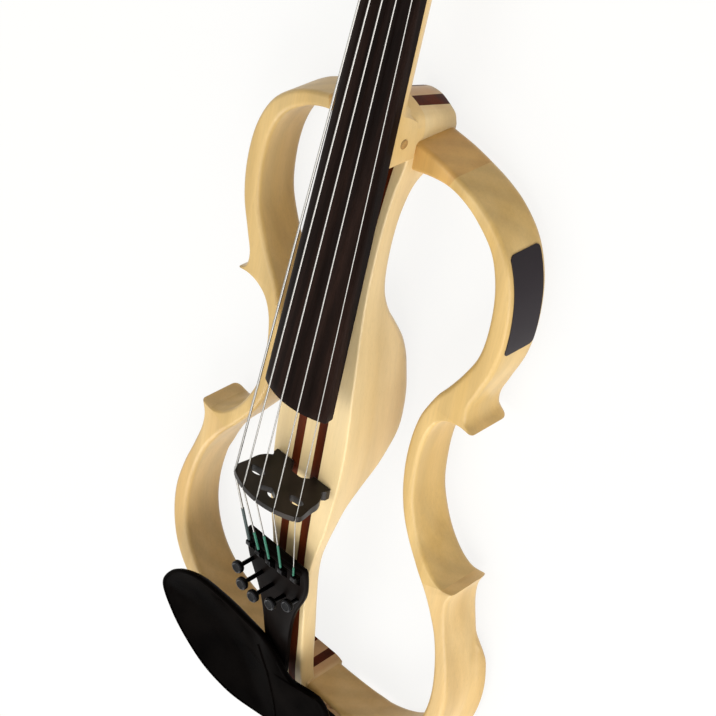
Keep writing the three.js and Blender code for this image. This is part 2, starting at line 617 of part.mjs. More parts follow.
const LEVER = { pivotY: -54, width: 3, pivotDrop: 5.1, slotFrom: -58, slotTo: -49.4 };
const SCREW_R = 1.2;
const GUT_R = 1.1;
const gutBores = [-2.9, 2.9].map((x) => solid(rod("y", -149, -139, GUT_R + 0.5, 8, [x, 35.5])));
const tunerCuts = tuners.flatMap(({ x, screwY }) => [
  solid(box(x - LEVER.width / 2 - 0.5, x + LEVER.width / 2 + 0.5, LEVER.slotFrom, LEVER.slotTo, 40, 70)),
  solid(rod("z", 40, 70, (SCREW_R + PLAY) / cos(PI / 8), 8, [x, screwY])),
]);
piece("tailpiece", [...tunerCuts, ...gutBores].reduce((sum, cut) => sum.subtract(cut),
  solid(tailpieceOuter).subtract(solid(tailpieceInner))), blackPlastic);

// Fine tuners: each screw presses the long arm of a lever that holds one string in its fork.
function leverProfile(armEnd) {
  return [
    [-armEnd, -4.4], [-armEnd, -2.6], [-3.6, 0.2], [-2.2, 1.4], [-1.4, 7.3], [0.8, 8.9], [3.4, 9.1],
    [3.4, 7.6], [1.6, 7.1], [1.7, -0.6], [0.4, -1.8],
  ];
}
tuners.forEach(({ x, screwY, headZ }, i) => {
  const pivotZ = tailpieceTopZ(x, LEVER.pivotY) - LEVER.pivotDrop;
  const armEnd = LEVER.pivotY - screwY + 1.6;
  const lever = piece("tuner_lever_" + (i + 1), sideProfile(leverProfile(armEnd), LEVER.width / 2), blackMetal);
  lever.position.set(x, LEVER.pivotY, pivotZ);
  const reach = headZ - (pivotZ - 1.95);
  const stem = turned([[0, -reach], [0.8, -reach], [SCREW_R, 0.8 - reach], [SCREW_R, 0], [0, 0]], 8);
  const cap = turned([[0, -0.4], [3, -0.4], [3.5, 0.2], [3.5, 2.2], [3.1, 2.8], [0, 2.5]], 12);
  const screw = piece("tuner_screw_" + (i + 1), solid(stem).add(solid(cap)), blackMetal);
  screw.geometry.rotateX(PI / 2);
  screw.position.set(x, screwY, headZ);
});

// Saddle, end pin and the gut that ties the tailpiece to it.
const SADDLE = { half: 17, y0: TAIL_Y - 0.6, y1: -153.9, z1: 31.6 };
const saddleOutline = [
  [SADDLE.y1, FRAME_DEPTH], [SADDLE.y1, SADDLE.z1 - 0.8], [SADDLE.y1 - 1.6, SADDLE.z1],
  [SADDLE.y0 + 1.8, SADDLE.z1], [SADDLE.y0, SADDLE.z1 - 1.8], [SADDLE.y0, FRAME_DEPTH + 0.6],
  [TAIL_Y, FRAME_DEPTH],
];
piece("saddle", sideProfile(saddleOutline, SADDLE.half), ebony);

const END_PIN = [ // radius, distance out from the tail
  [0, -9], [2.9, -9], [3.5, 0.3], [3.3, 3.9], [5, 4.6], [6.6, 5.6], [7, 7.4], [6, 9.4], [3.6, 10.4],
  [0, 10.6],
];
const endPin = piece("end_pin", turned(END_PIN, 16), ebony);
endPin.geometry.rotateX(PI);
endPin.position.set(0, TAIL_Y, PIN_Z);

const gutY = TAIL_Y - 2.2;
const gutHalf = [
  at(2.9, -139.6, 35.6), at(2.9, -147, 35.4), at(3.1, -151, 33.8), at(3.3, SADDLE.y1 + 1, 33), at(3.4, SADDLE.y0 + 2, 33),
  at(3.7, SADDLE.y0 - 0.6, 31.9), at(4.2, SADDLE.y0 - 1.7, 29.4), at(4.7, gutY, 24), at(4.9, gutY, PIN_Z + 2),
  at(4.4, gutY, PIN_Z - 2.2), at(2.6, gutY, PIN_Z - 4.2),
];
const gutPath = [...gutHalf, at(0, gutY, PIN_Z - 5), ...gutHalf.slice().reverse().map((p) => at(-p.x, p.y, p.z))];
piece("tail_gut", tube(gutPath, GUT_R, 6), gutCord);

// Strings, each one tube from its tuner's fork over bridge and nut to three turns round its peg.
const WIND_TURNS = 3;
const WIND_STEPS = 8;
const stringNames = ["string_c", "string_g", "string_d", "string_a", "string_e"];
pegs.forEach(({ string: i, y, lane }) => {
  const radius = stringRadii[i];
  const coil = PEG_R_HEAD + radius + 0.35;
  const pitch = 2 * radius + 0.25;
  const hook = at(tuners[i].x, LEVER.pivotY + 4.6, tailpieceTopZ(tuners[i].x, LEVER.pivotY) + 3.3);
  const start = lane - (WIND_TURNS * pitch) / 2;
  const path = [
    hook,
    at(bridgeX(i) * 0.995, -1.4, bridgeStringZ(i)),
    at(bridgeX(i), 1.4, bridgeStringZ(i)),
    at(nutX(i), STRING_LENGTH, nutStringZ(i)),
    at(nutX(i) * 0.99, STRING_LENGTH + NUT.thick, nutStringZ(i) - 0.2),
  ];
  for (let k = 0; k <= WIND_TURNS * WIND_STEPS; k++) {
    const turn = PI / 2 - (2 * PI * k) / WIND_STEPS - 0.25;
    path.push(at(start + (pitch * k) / WIND_STEPS, y + coil * cos(turn), pegZ(y) + coil * sin(turn)));
  }
  piece(stringNames[i], tube(path, radius, 5), stringSteel);
});

// Pegs: tapered shaft, turned collar and a flat oval thumb piece.
const PEG_COLLAR_OUT = 14.6;
pegs.forEach(({ name, side, y }) => {
  const shaft = turned([
    [0, -16], [PEG_R_TIP, -15.6], [PEG_R_TIP, -4], [PEG_R_HEAD, -3.2],
    [PEG_R_HEAD, PEG_COLLAR_OUT], [5.6, PEG_COLLAR_OUT + 0.8], [5.4, PEG_COLLAR_OUT + 2.6],
    [3.2, PEG_COLLAR_OUT + 3.8], [0, PEG_COLLAR_OUT + 8],
  ], PEG_BORE_SIDES);
  const thumb = new THREE.SphereGeometry(1, 12, 7).scale(11.2, 10.4, 3.9);
  thumb.translate(0, PEG_COLLAR_OUT + 14.2, 0);
  const tip = new THREE.SphereGeometry(2, 6, 5).translate(0, PEG_COLLAR_OUT + 25, 0);
  const peg = piece(name, union(solid(shaft), solid(thumb), solid(tip)), ebony);
  peg.geometry.rotateZ(side * -PI / 2);
  peg.position.set(0, y, pegZ(y));
});

// Chinrest: a dished cup over the bass side whose arm crosses above the tailpiece.
const CHIN_OUTLINE = [
  [-78, -133], [-74, -122], [-66, -114.5], [-53, -109.6], [-36, -108.8], [-18, -110.5], [-2, -115],
  [8, -122.4], [18, -130.6], [30, -131.6], [42, -128], [48.5, -134], [47, -148], [38, -160], [26, -168.6],
  [6, -169.6], [-18, -169.6], [-38, -166.4], [-54, -158.6], [-68, -147.6],
];
const CHIN = { x: -30, y: -141, rim: 50.4, dish: 7.6, thick: 4.4 };
const CHIN_RINGS = [1, 0.92, 0.74, 0.5, 0.2]; // shares of the way out to the rim
const chinCurve = new THREE.CatmullRomCurve3(CHIN_OUTLINE.map(([x, y]) => at(x, y, 0)), true);
const chinRim = chinCurve.getPoints(36).slice(0, -1);
function chinHeight(p, share, under) {
  const cup = 1 - THREE.MathUtils.smoothstep(p.x, -22, 16);
  const lift = lerp(-1.8, 1.6, cup) * share;
  const hollow = CHIN.dish * cup * (1 - share ** 2.4);
  const roll = under && share === 1 ? 1.6 : CHIN.thick;
  return CHIN.rim + lift - hollow - (under ? roll : share === 1 ? 0.5 : 0);
}
const chinRing = (share, under) => chinRim.map((p) => {
  const x = lerp(CHIN.x, p.x, share);
  const y = lerp(CHIN.y, p.y, share);
  return at(x, y, chinHeight({ x, y }, share, under));
});
const chinTop = CHIN_RINGS.map((share) => chinRing(share, false)).reverse();
const chinUnder = CHIN_RINGS.map((share) => chinRing(share, true));
const PAD = { x0: 22, x1: 42, y0: -157, y1: -152.6, z1: 29.4 };
const BARREL = { x: 22, y: -165.4, radius: 3.3, z0: 4, z1: 24 };
const STUD_R = 1.6;
const foot = (side) => {
  const ring = (z, grow) => level(z, [
    [side * (PAD.x0 - grow), PAD.y0 - grow], [side * (PAD.x1 + grow), PAD.y0 - grow],
    [side * (PAD.x1 + grow), PAD.y1 + grow], [side * (PAD.x0 - grow), PAD.y1 + grow],
  ]);
  return solid(loft([ring(PAD.z1, 0), ring(33, 0.6), ring(side < 0 ? 43.6 : 46.4, 2.4)]));
};
const studHole = (side) => solid(rod("z", 30, 44.6, STUD_R + 0.1, 8, [side * BARREL.x, BARREL.y]));
const chinBody = union(solid(loft([...chinTop, ...chinUnder])), foot(-1), foot(1));
const boss = (side) => solid(rod("z", 38, 46, 4, 10, [side * BARREL.x, BARREL.y]));
piece("chinrest", union(chinBody, boss(-1), boss(1)).subtract(studHole(-1)).subtract(studHole(1)), blackPlastic);

// Its clamp: cork pads, a foot plate under the frame and two barrels on threaded studs.
for (const [side, name] of [[-1, "bass"], [1, "treble"]]) {
  const [x0, x1] = [side * PAD.x0, side * PAD.x1].sort((a, b) => a - b);
  piece("chinrest_cork_" + name, box(x0, x1, PAD.y0, PAD.y1, FRAME_DEPTH, PAD.z1), cork);
  piece("chinrest_stud_" + name, rod("z", BARREL.z1 - 5, 44.4, STUD_R, 8, [side * BARREL.x, BARREL.y]), steel);
  const body = rod("z", BARREL.z0, BARREL.z1, BARREL.radius, 12, [0, 0]);
  const bore = rod("z", BARREL.z0 - 1, BARREL.z1 + 1, (STUD_R + PLAY) / cos(PI / 8), 8, [0, 0]);
  const keyHole = (z) => solid(rod("x", -9, 9, 0.9, 6, [0, z]));
  const barrel = solid(body).subtract(solid(bore)).subtract(keyHole(11)).subtract(keyHole(17));
  piece("clamp_barrel_" + name, barrel, steel).position.set(side * BARREL.x, BARREL.y, 0);
}
const FOOT_PLATE = { half: 26, y0: -169, y1: -157.4, thick: 1.6 };
const plateBottom = UNDERSIDE_Z;
const footPlate = solid(box(-FOOT_PLATE.half, FOOT_PLATE.half, FOOT_PLATE.y0, FOOT_PLATE.y1,
  plateBottom, plateBottom + FOOT_PLATE.thick));
const lowerStud = (side) => solid(rod("z", plateBottom + 0.5, BARREL.z0 + 5, STUD_R, 8, [side * BARREL.x, BARREL.y]));
piece("clamp_foot", union(footPlate, lowerStud(-1), lowerStud(1)), steel);
piece("clamp_foot_cork", box(-FOOT_PLATE.half, FOOT_PLATE.half, TAIL_Y + 0.2, FOOT_PLATE.y1,
  plateBottom + FOOT_PLATE.thick, 0), cork);

// Controls on the bass side of the core: plate, volume knob on its potentiometer, output jack, board.
const KNOB = { y: 44.3, z: 26 };
const JACK = { y: 26, z: 26, bore: 3.3, body: 5.6, ferrule: 7, end: 2.6 };
const plateOut = PLATE.floor - PLATE.thick;
const screwPlaces = [[PLATE.y0 + 2.6, PLATE.z0 + 2.6], [PLATE.y1 - 2.6, PLATE.z0 + 2.6],
  [PLATE.y1 - 2.6, PLATE.z1 - 2.6], [PLATE.y0 + 2.6, PLATE.z1 - 2.6]];
const plateHoles = [
  solid(rod("x", -30, 0, 3.2, 10, [KNOB.y, KNOB.z])),
  solid(rod("x", -30, 0, JACK.body + 0.2, 14, [JACK.y, JACK.z])),
  ...screwPlaces.map((place) => solid(rod("x", -30, 0, 1.3, 8, place))),
];
const plateBlank = solid(box(plateOut, PLATE.floor, PLATE.y0 + 0.3, PLATE.y1 - 0.3, PLATE.z0 + 0.3, PLATE.z1 - 0.3));
piece("control_plate", plateHoles.reduce((sum, hole) => sum.subtract(hole), plateBlank), blackPlastic);
screwPlaces.forEach(([y, z], i) => {
  const screw = turned([[0, 0.3], [1.1, 0.3], [1.1, 2.3], [2.2, 2.4], [1.7, 3.3], [0, 3.5]], 8);
  const mesh = piece("plate_screw_" + (i + 1), screw, blackMetal);
  mesh.geometry.rotateZ(PI / 2);
  mesh.position.set(PLATE.floor, y, z);
});

// The knob and its spindle turn together in the potentiometer's body.
const SPINDLE_R = 2.8;
const knobRing = (x, radius, flute) => Array.from({ length: 24 }, (_, k) => {
  const turn = (2 * PI * k) / 24;
  const r = k % 3 === 1 ? radius - flute : radius;
  return at(x, r * cos(turn), r * sin(turn));
});
const knobBody = loft([knobRing(0, 7.6, 0), knobRing(-1.6, 7.6, 0), knobRing(-2.2, 7, 0.6),
  knobRing(-9.4, 6.6, 0.6), knobRing(-10.4, 5.8, 0.3)]);
const spindle = rod("x", -1, 8, SPINDLE_R, 10);
piece("volume_knob", solid(knobBody).add(solid(spindle)), blackPlastic)
  .position.set(plateOut - 0.7, KNOB.y, KNOB.z);
const potBody = rod("x", 0.1, 8, 7.4, 14);
const potBore = rod("x", -1, 6, (SPINDLE_R + PLAY) / cos(PI / 10), 10);
piece("volume_pot", solid(potBody).subtract(solid(potBore)), steel)
  .position.set(PLATE.floor, KNOB.y, KNOB.z);

const jackFront = -plateOut + 2.6; // how far the mouth stands out from the middle plane
const jack = union(
  solid(rod("x", -jackFront + 0.6, JACK.end, JACK.body, 14, [0, 0])),
  solid(rod("x", -jackFront, plateOut - 0.1, JACK.ferrule, 14, [0, 0])),
).subtract(solid(rod("x", -jackFront - 1, JACK.end - 1.6, JACK.bore, 12, [0, 0])));
piece("output_jack", jack, steel).position.set(0, JACK.y, JACK.z);

piece("circuit_board", box(-9, -7.4, 34.5, 51.5, 18.5, 33.5), circuitGreen);

// Stand the finished group with the middle of its underside at the origin.
const bounds = new THREE.Box3().setFromObject(violin);
const middle = bounds.getCenter(new THREE.Vector3());
violin.position.set(-middle.x, -middle.y, -bounds.min.z);

export default violin;
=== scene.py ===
from math import ceil, cos, pi, radians, sin, sqrt

import bmesh
import bpy
import numpy as np
from mathutils import Matrix, Vector
from mathutils.bvhtree import BVHTree


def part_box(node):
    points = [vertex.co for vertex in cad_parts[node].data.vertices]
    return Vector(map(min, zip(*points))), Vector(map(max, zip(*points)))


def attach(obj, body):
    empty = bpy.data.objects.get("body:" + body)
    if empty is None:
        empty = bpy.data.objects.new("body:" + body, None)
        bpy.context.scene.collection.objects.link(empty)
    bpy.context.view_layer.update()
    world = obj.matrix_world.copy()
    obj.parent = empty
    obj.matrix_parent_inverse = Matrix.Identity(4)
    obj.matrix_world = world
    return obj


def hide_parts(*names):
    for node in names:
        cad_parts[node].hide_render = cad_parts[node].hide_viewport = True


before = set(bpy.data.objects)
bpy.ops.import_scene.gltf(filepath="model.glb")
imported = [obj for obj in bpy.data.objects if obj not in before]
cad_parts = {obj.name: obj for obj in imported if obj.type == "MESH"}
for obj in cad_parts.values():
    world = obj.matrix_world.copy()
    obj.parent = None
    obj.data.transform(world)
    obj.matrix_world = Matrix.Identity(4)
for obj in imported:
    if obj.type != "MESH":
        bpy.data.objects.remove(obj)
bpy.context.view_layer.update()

# Camera: the violin stands upright in the photograph and is seen from above its treble shoulder.
# Here it lies on its back, so the camera hangs over the scroll end with the scroll turned up in the
# picture.
CAMERA_PLACE = Vector((0.473917, 0.528571, 0.637719))
PICTURE_RIGHT = Vector((0.70587, 0.15276, -0.69168))
PICTURE_UP = Vector((-0.51702, 0.77858, -0.35568))
SENSOR_MM = 36
LENS_MM = 102.25
FARTHEST_SEEN = 20
camera = bpy.data.objects.new("camera", bpy.data.cameras.new("camera"))
camera.data.sensor_width = SENSOR_MM
camera.data.lens = LENS_MM
camera.data.clip_end = FARTHEST_SEEN
picture_axes = Matrix((PICTURE_RIGHT, PICTURE_UP, PICTURE_RIGHT.cross(PICTURE_UP)))
camera.matrix_world = Matrix.Translation(CAMERA_PLACE) @ picture_axes.transposed().to_4x4()
bpy.context.scene.collection.objects.link(camera)
bpy.context.scene.camera = camera

# Studio: a white floor and three large soft lamps. The floor and the surround look white to the
# camera and to polished surfaces, and the floor keeps the violin's soft shadow.
FLOOR_HALF = 6
FLOOR_COLOUR = (0.86, 0.85, 0.82, 1)
PAPER_WHITE = (1.0, 0.998, 0.985, 1)
FLOOR_GLOW = 0.86
WORLD_LIGHT = 0.35
LAMPS = [  # name, place, size, power in watts
    ("lamp_treble", (1.4, -0.7, 1.1), 1.4, 28),
    ("lamp_above", (-0.4, -0.3, 1.9), 1.6, 19),
    ("lamp_tail", (0.2, -1.9, 0.9), 1.2, 17),
]
bpy.context.scene.view_settings.view_transform = "Standard"


def white_to_viewer(tree, lit, share, colour):
    """Mixes a plain glow into a floor or world for the camera and for polished surfaces."""
    nodes, links = tree.nodes, tree.links
    rays = nodes.new("ShaderNodeLightPath")
    seen = nodes.new("ShaderNodeMath")
    seen.operation = "MAXIMUM"
    links.new(rays.outputs["Is Camera Ray"], seen.inputs[0])
    links.new(rays.outputs["Is Glossy Ray"], seen.inputs[1])
    part = nodes.new("ShaderNodeMath")
    part.operation = "MULTIPLY"
    part.inputs[1].default_value = share
    links.new(seen.outputs[0], part.inputs[0])
    glow = nodes.new("ShaderNodeEmission" if lit.type == "BSDF_DIFFUSE" else "ShaderNodeBackground")
    glow.inputs["Color"].default_value = colour
    glow.inputs["Strength"].default_value = 1
    mix = nodes.new("ShaderNodeMixShader")
    links.new(part.outputs[0], mix.inputs["Fac"])
    links.new(lit.outputs[0], mix.inputs[1])
    links.new(glow.outputs[0], mix.inputs[2])
    return mix


bpy.ops.mesh.primitive_grid_add(x_subdivisions=2, y_subdivisions=2, size=2 * FLOOR_HALF)
floor_sheet = bpy.context.object
floor_sheet.name = "floor"
paper = bpy.data.materials.new("white_paper")
paper.use_nodes = True
paper.node_tree.nodes.clear()
matte = paper.node_tree.nodes.new("ShaderNodeBsdfDiffuse")
matte.inputs["Color"].default_value = FLOOR_COLOUR
sheet_out = paper.node_tree.nodes.new("ShaderNodeOutputMaterial")
floor_mix = white_to_viewer(paper.node_tree, matte, FLOOR_GLOW, PAPER_WHITE)
paper.node_tree.links.new(floor_mix.outputs[0], sheet_out.inputs["Surface"])
floor_sheet.data.materials.append(paper)

world = bpy.data.worlds.new("studio")
bpy.context.scene.world = world
world.use_nodes = True
surround = world.node_tree.nodes["Background"]
surround.inputs["Color"].default_value = (1, 1, 1, 1)
surround.inputs["Strength"].default_value = WORLD_LIGHT
world_mix = white_to_viewer(world.node_tree, surround, 1, PAPER_WHITE)
world.node_tree.links.new(world_mix.outputs[0], world.node_tree.nodes["World Output"].inputs["Surface"])

for lamp_name, place, size, power in LAMPS:
    lamp = bpy.data.objects.new(lamp_name, bpy.data.lights.new(lamp_name, "AREA"))
    lamp.data.size = size
    lamp.data.energy = power
    lamp.location = place
    lamp.rotation_mode = "QUATERNION"
    lamp.rotation_quaternion = (-Vector(place)).to_track_quat("-Z", "Y")
    bpy.context.scene.collection.objects.link(lamp)

# Core: the long beam that carries neck, bridge and tailpiece. Five strips, maple at the outside and
# in the middle and dark red-brown wood between, are glued side by side, then carved to a flat deck
# over a deep keel, with a heel block for the neck and a tail block for the end pin.
MM = 0.001
BRIDGE_Y = sum(end.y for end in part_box("bass_pickup")) / 2
BACK_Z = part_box("bass_core")[0].z
CORE = [  # y, half width, deck height, underside, radius of the lower edges
    (-153.6, 14.6, 30.2, 19.5, 2.5), (-138, 13.3, 33, 21.5, 3), (-112, 12.7, 35.8, 24.6, 3),
    (-84, 12.6, 39.6, 28.8, 3), (-66, 13, 41.4, 31.5, 3), (-50, 15.2, 42.6, 34, 3.5),
    (-38, 17.6, 43.4, 34.6, 3.5), (-26, 19.7, 43.8, 33, 4), (-14, 21, 44, 29, 4.5),
    (-4, 21.8, 44, 21.5, 5), (6, 22.4, 44, 12.5, 5.5), (15, 22.7, 44, 6.5, 6), (24, 22.8, 44, 2.2, 6),
    (34, 22.5, 44, 0.7, 6), (48, 21.6, 43.9, 0.7, 6), (60, 20.3, 43.6, 2.1, 6), (70, 19.2, 42.9, 3.8, 6),
    (80, 17.8, 42, 7.4, 5.5), (90, 16.2, 41, 13.2, 5), (100, 14.9, 39.9, 19.8, 4),
    (112, 13.8, 38.9, 24.4, 3.5), (126, 13.4, 38.2, 26, 3.5), (145, 13.4, 37.2, 25.6, 3.5),
    (160, 13.6, 35.6, 23, 3.5), (172, 14.1, 33.9, 17.5, 3.5), (181, 15, 32.4, 6, 3), (188.5, 15, 31, 0, 3),
]
CENTRE_HALF = 4.1
STRIPE_OUT = 9.3
BLOCK_HALF = 15
DECK_EDGE = 1.1
HEEL_BACK = [(15, 184), (15, 196), (13.2, 200.6), (9.3, 203.3), (4.1, 205.8), (0, 206.4)]
HEEL_SEAT = [(15, 184), (15, 201.5), (13.4, 206.6), (9.3, 209.8), (4.1, 212), (0, 212.4)]
JOINT_Z = 23
HEEL_ROWS = [(0, 1.4), (0.4, 0.45), (1.4, 0), (8, 0), (16, 0), (JOINT_Z, 0)]  # height, drawn in
HEEL_ROUND_FROM = 190
HEEL_POINTS = 48
TAIL_Y = -160.4
TAIL_BLOCK_Y = -149
TAIL_BLOCK_ROUND = [(0, 1.7), (1, 1.15), (2.2, 0.65), (3.8, 0.25), (6, 0)]
FRAME_DEPTH = 27
PIN_Z = 13.5
PIN_HOLE_R = 3.9
PIN_HOLE_DEPTH = 9.4
PLATE_SEAT = ((-30, 14, 14), (-18.6, 56, 38))
POCKET = ((-30, 17.5, 17.5), (3.9, 52.5, 34.5))
STRIPS = [  # node, from x, to x
    ("bass_core", -30, -STRIPE_OUT), ("bass_stripe", -STRIPE_OUT, -CENTRE_HALF),
    ("centre_core", -CENTRE_HALF, CENTRE_HALF), ("treble_stripe", CENTRE_HALF, STRIPE_OUT),
    ("treble_core", STRIPE_OUT, 30),
]
STRIP_LOW = (-200, -20)  # y and z, well clear of the core
STRIP_HIGH = (260, 80)
CORE_RINGS = 140


def spot(x, y, z):
    """A place in the part's frame from millimetres: x to the treble side, y from the bridge, z up."""
    return Vector((x * MM, BRIDGE_Y + y * MM, BACK_Z + z * MM))


def mesh_piece(name, points, faces):
    """A new object from points in millimetres, with its faces turned outwards."""
    mesh = bpy.data.meshes.new(name)
    mesh.from_pydata([spot(*p) for p in points], [], faces)
    shape = bmesh.new()
    shape.from_mesh(mesh)
    bmesh.ops.recalc_face_normals(shape, faces=shape.faces)
    shape.to_mesh(mesh)
    shape.free()
    piece = bpy.data.objects.new(name, mesh)
    bpy.context.scene.collection.objects.link(piece)
    return piece


def skin(name, rings):
    """A closed skin through a row of rings that all have the same number of points."""
    count = len(rings[0])
    faces = []
    for r in range(len(rings) - 1):
        for i in range(count):
            a, b = r * count + i, r * count + (i + 1) % count
            faces.append((a, b, b + count, a + count))
    last = (len(rings) - 1) * count
    faces += [tuple(range(count)), tuple(range(last, last + count))]
    return mesh_piece(name, [p for ring in rings for p in ring], faces)


def upright(name, plan, low, high):
    """A plan in x and y as a solid between two heights."""
    return skin(name, [[(x, y, z) for x, y in plan] for z in (low, high)])


def block(low, high):
    """A plain block between two corners, to cut or join with."""
    (x0, y0, z0), (x1, y1, z1) = low, high
    return upright("block", ((x0, y0), (x1, y0), (x1, y1), (x0, y1)), z0, z1)


def work(piece, kind, tools):
    """Cuts with, joins to or keeps only what lies in each tool in turn, and removes the tools."""
    for tool in tools:
        step = piece.modifiers.new("work", "BOOLEAN")
        step.operation = kind
        step.object = tool
        step.solver = "MANIFOLD"
        worked = piece.evaluated_get(bpy.context.evaluated_depsgraph_get())
        mesh = bpy.data.meshes.new_from_object(worked)
        piece.modifiers.clear()
        piece.data = mesh
        bpy.data.objects.remove(tool)
    return piece


def copy_of(piece, name):
    """A second piece with the same mesh."""
    twin = bpy.data.objects.new(name, piece.data.copy())
    bpy.context.scene.collection.objects.link(twin)
    return twin


def around(sides):
    """Evenly spaced turns of a full circle."""
    return [2 * pi * k / sides for k in range(sides)]


def bar(axis, start, end, radius, centre, sides=40):
    """A round bar along an axis of the frame, to cut or join with."""
    order = {"x": (2, 0, 1), "y": (0, 2, 1), "z": (0, 1, 2)}[axis]
    rings = []
    for along in (start, end):
        spots = [(centre[0] + radius * cos(t), centre[1] + radius * sin(t), along) for t in around(sides)]
        rings.append([tuple(p[k] for k in order) for p in spots])
    return skin("bar", rings)


def mirrored(half):
    """An outline made whole from its right half, with points on the middle line kept once."""
    return half + [(-x, other) for x, other in reversed(half) if x]


def between(t, here, leaving, there, arriving):
    """A share t of the way from here to there, on a smooth curve with these slopes at its ends."""
    return ((2 * t**3 - 3 * t**2 + 1) * here + (t**3 - 2 * t**2 + t) * leaving
            + (3 * t**2 - 2 * t**3) * there + (t**3 - t**2) * arriving)


def eased(rows, y, column):
    """A column of the rows at y, on a smooth curve through them."""
    k = min(max(sum(row[0] <= y for row in rows) - 1, 0), len(rows) - 2)
    before, here, there, after = (rows[min(max(k + d, 0), len(rows) - 1)] for d in (-1, 0, 1, 2))
    span = there[0] - here[0]
    leaving = (there[column] - before[column]) / (there[0] - before[0]) * span
    arriving = (after[column] - here[column]) / (after[0] - here[0]) * span
    return between((y - here[0]) / span, here[column], leaving, there[column], arriving)


def curve_through(points, step=None, closed=False, parts=None):
    """A smooth line through points: its own points lie a step apart, or so many parts to each gap."""
    given = [np.array(p, float) for p in points]
    if closed:
        line = [given[-1], *given, *given[:2]]
    else:
        line = [2 * given[0] - given[1], *given, 2 * given[-1] - given[-2]]
    fine = []
    for p0, p1, p2, p3 in zip(line, line[1:], line[2:], line[3:]):
        d0, d1, d2 = (max(sqrt(np.linalg.norm(b - a)), 1e-4) for a, b in ((p0, p1), (p1, p2), (p2, p3)))
        leaving = d1 * ((p1 - p0) / d0 - (p2 - p0) / (d0 + d1) + (p2 - p1) / d1)
        arriving = d1 * ((p2 - p1) / d1 - (p3 - p1) / (d1 + d2) + (p3 - p2) / d2)
        count = parts or max(ceil(np.linalg.norm(p2 - p1) / step), 1)
        fine += [between(j / count, p1, leaving, p2, arriving) for j in range(count)]
    return fine if closed else fine + [given[-1]]


def rounded_corner(centre, radius, start, end, steps):
    """Points of a rounded corner from one angle to another, in degrees."""
    turns = [radians(start + (end - start) * k / steps) for k in range(steps + 1)]
    return [(centre[0] + radius * cos(t), centre[1] + radius * sin(t)) for t in turns]


def core_ring(y):
    """Section of the beam: a flat deck with eased edges over a rounded underside."""
    half, deck, under, radius = (eased(CORE, y, column) for column in (1, 2, 3, 4))
    right = rounded_corner((half - DECK_EDGE, deck - DECK_EDGE), DECK_EDGE, 90, 0, 4)
    right += rounded_corner((half - radius, under + radius), radius, 0, -90, 8)
    return [(x, y, z) for x, z in mirrored(right)]


def heel_ring(lift, inset):
    """Plan of the heel at a height above its back, drawn in by an inset at the rounded back edge."""
    share = lift / JOINT_Z
    half_plan = [(bx + (sx - bx) * share, by + (sy - by) * share)
                 for (bx, by), (sx, sy) in zip(HEEL_BACK, HEEL_SEAT)]
    right = [(x * (1 - inset / BLOCK_HALF), y - inset if y > HEEL_ROUND_FROM else y) for x, y in half_plan]
    fine = curve_through(mirrored(right[1:]), 0.3)
    outline = [fine[round(k * (len(fine) - 1) / HEEL_POINTS)] for k in range(HEEL_POINTS + 1)]
    return [(*right[0], lift)] + [(x, y, lift) for x, y in outline] + [(-right[0][0], right[0][1], lift)]


def soft_edges(piece, width, steps=3, angle=32):
    """Rounds a piece's sharp edges by a width in millimetres."""
    edge = piece.modifiers.new("edges", "BEVEL")
    edge.width = width * MM
    edge.segments = steps
    edge.limit_method = "ANGLE"
    edge.angle_limit = radians(angle)
    edge.harden_normals = True
    edge.use_clamp_overlap = True
    return piece


def smooth(piece, angle=32):
    """Shades a piece smoothly, except over edges sharper than an angle."""
    piece.data.shade_smooth()
    piece.data.set_sharp_from_angle(angle=radians(angle))
    return piece


def made_of(piece, material):
    """Gives a piece its one material."""
    piece.data.materials.clear()
    piece.data.materials.append(material)
    return piece


def new_finish(name, roughness, metallic=0.0, coat=0.0, coat_roughness=0.2, specular=0.5):
    """A new material and its surface shader."""
    made = bpy.data.materials.new(name)
    made.use_nodes = True
    surface = made.node_tree.nodes["Principled BSDF"]
    surface.inputs["Roughness"].default_value = roughness
    surface.inputs["Metallic"].default_value = metallic
    surface.inputs["Specular IOR Level"].default_value = specular
    surface.inputs["Coat Weight"].default_value = coat
    surface.inputs["Coat Roughness"].default_value = coat_roughness
    return made, surface


def part_of(made, kind, **settings):
    """A node of a material, with its settings or the values of its sockets."""
    node = made.node_tree.nodes.new("ShaderNode" + kind)
    for key, value in settings.items():
        if hasattr(node, key):
            setattr(node, key, value)
        else:
            node.inputs[key.replace("_", " ")].default_value = value
    return node


def ramp(made, source, stops):
    """Turns a value into colours, from stops of place and colour."""
    node = part_of(made, "ValToRGB")
    while len(node.color_ramp.elements) < len(stops):
        node.color_ramp.elements.new(0.5)
    for element, (place, colour) in zip(node.color_ramp.elements, stops):
        element.position = place
        element.color = (*colour, 1) if len(colour) == 3 else (colour[0],) * 3 + (1,)
    made.node_tree.links.new(source, node.inputs["Fac"])
    return node.outputs["Color"]


def darkened(made, colour, layer):
    """A colour multiplied by a layer of lines, hairs or dots."""
    node = part_of(made, "Mix", data_type="RGBA", blend_type="MULTIPLY", Factor=1.0)
    made.node_tree.links.new(colour, node.inputs["A"])
    made.node_tree.links.new(layer, node.inputs["B"])
    return node.outputs["Result"]


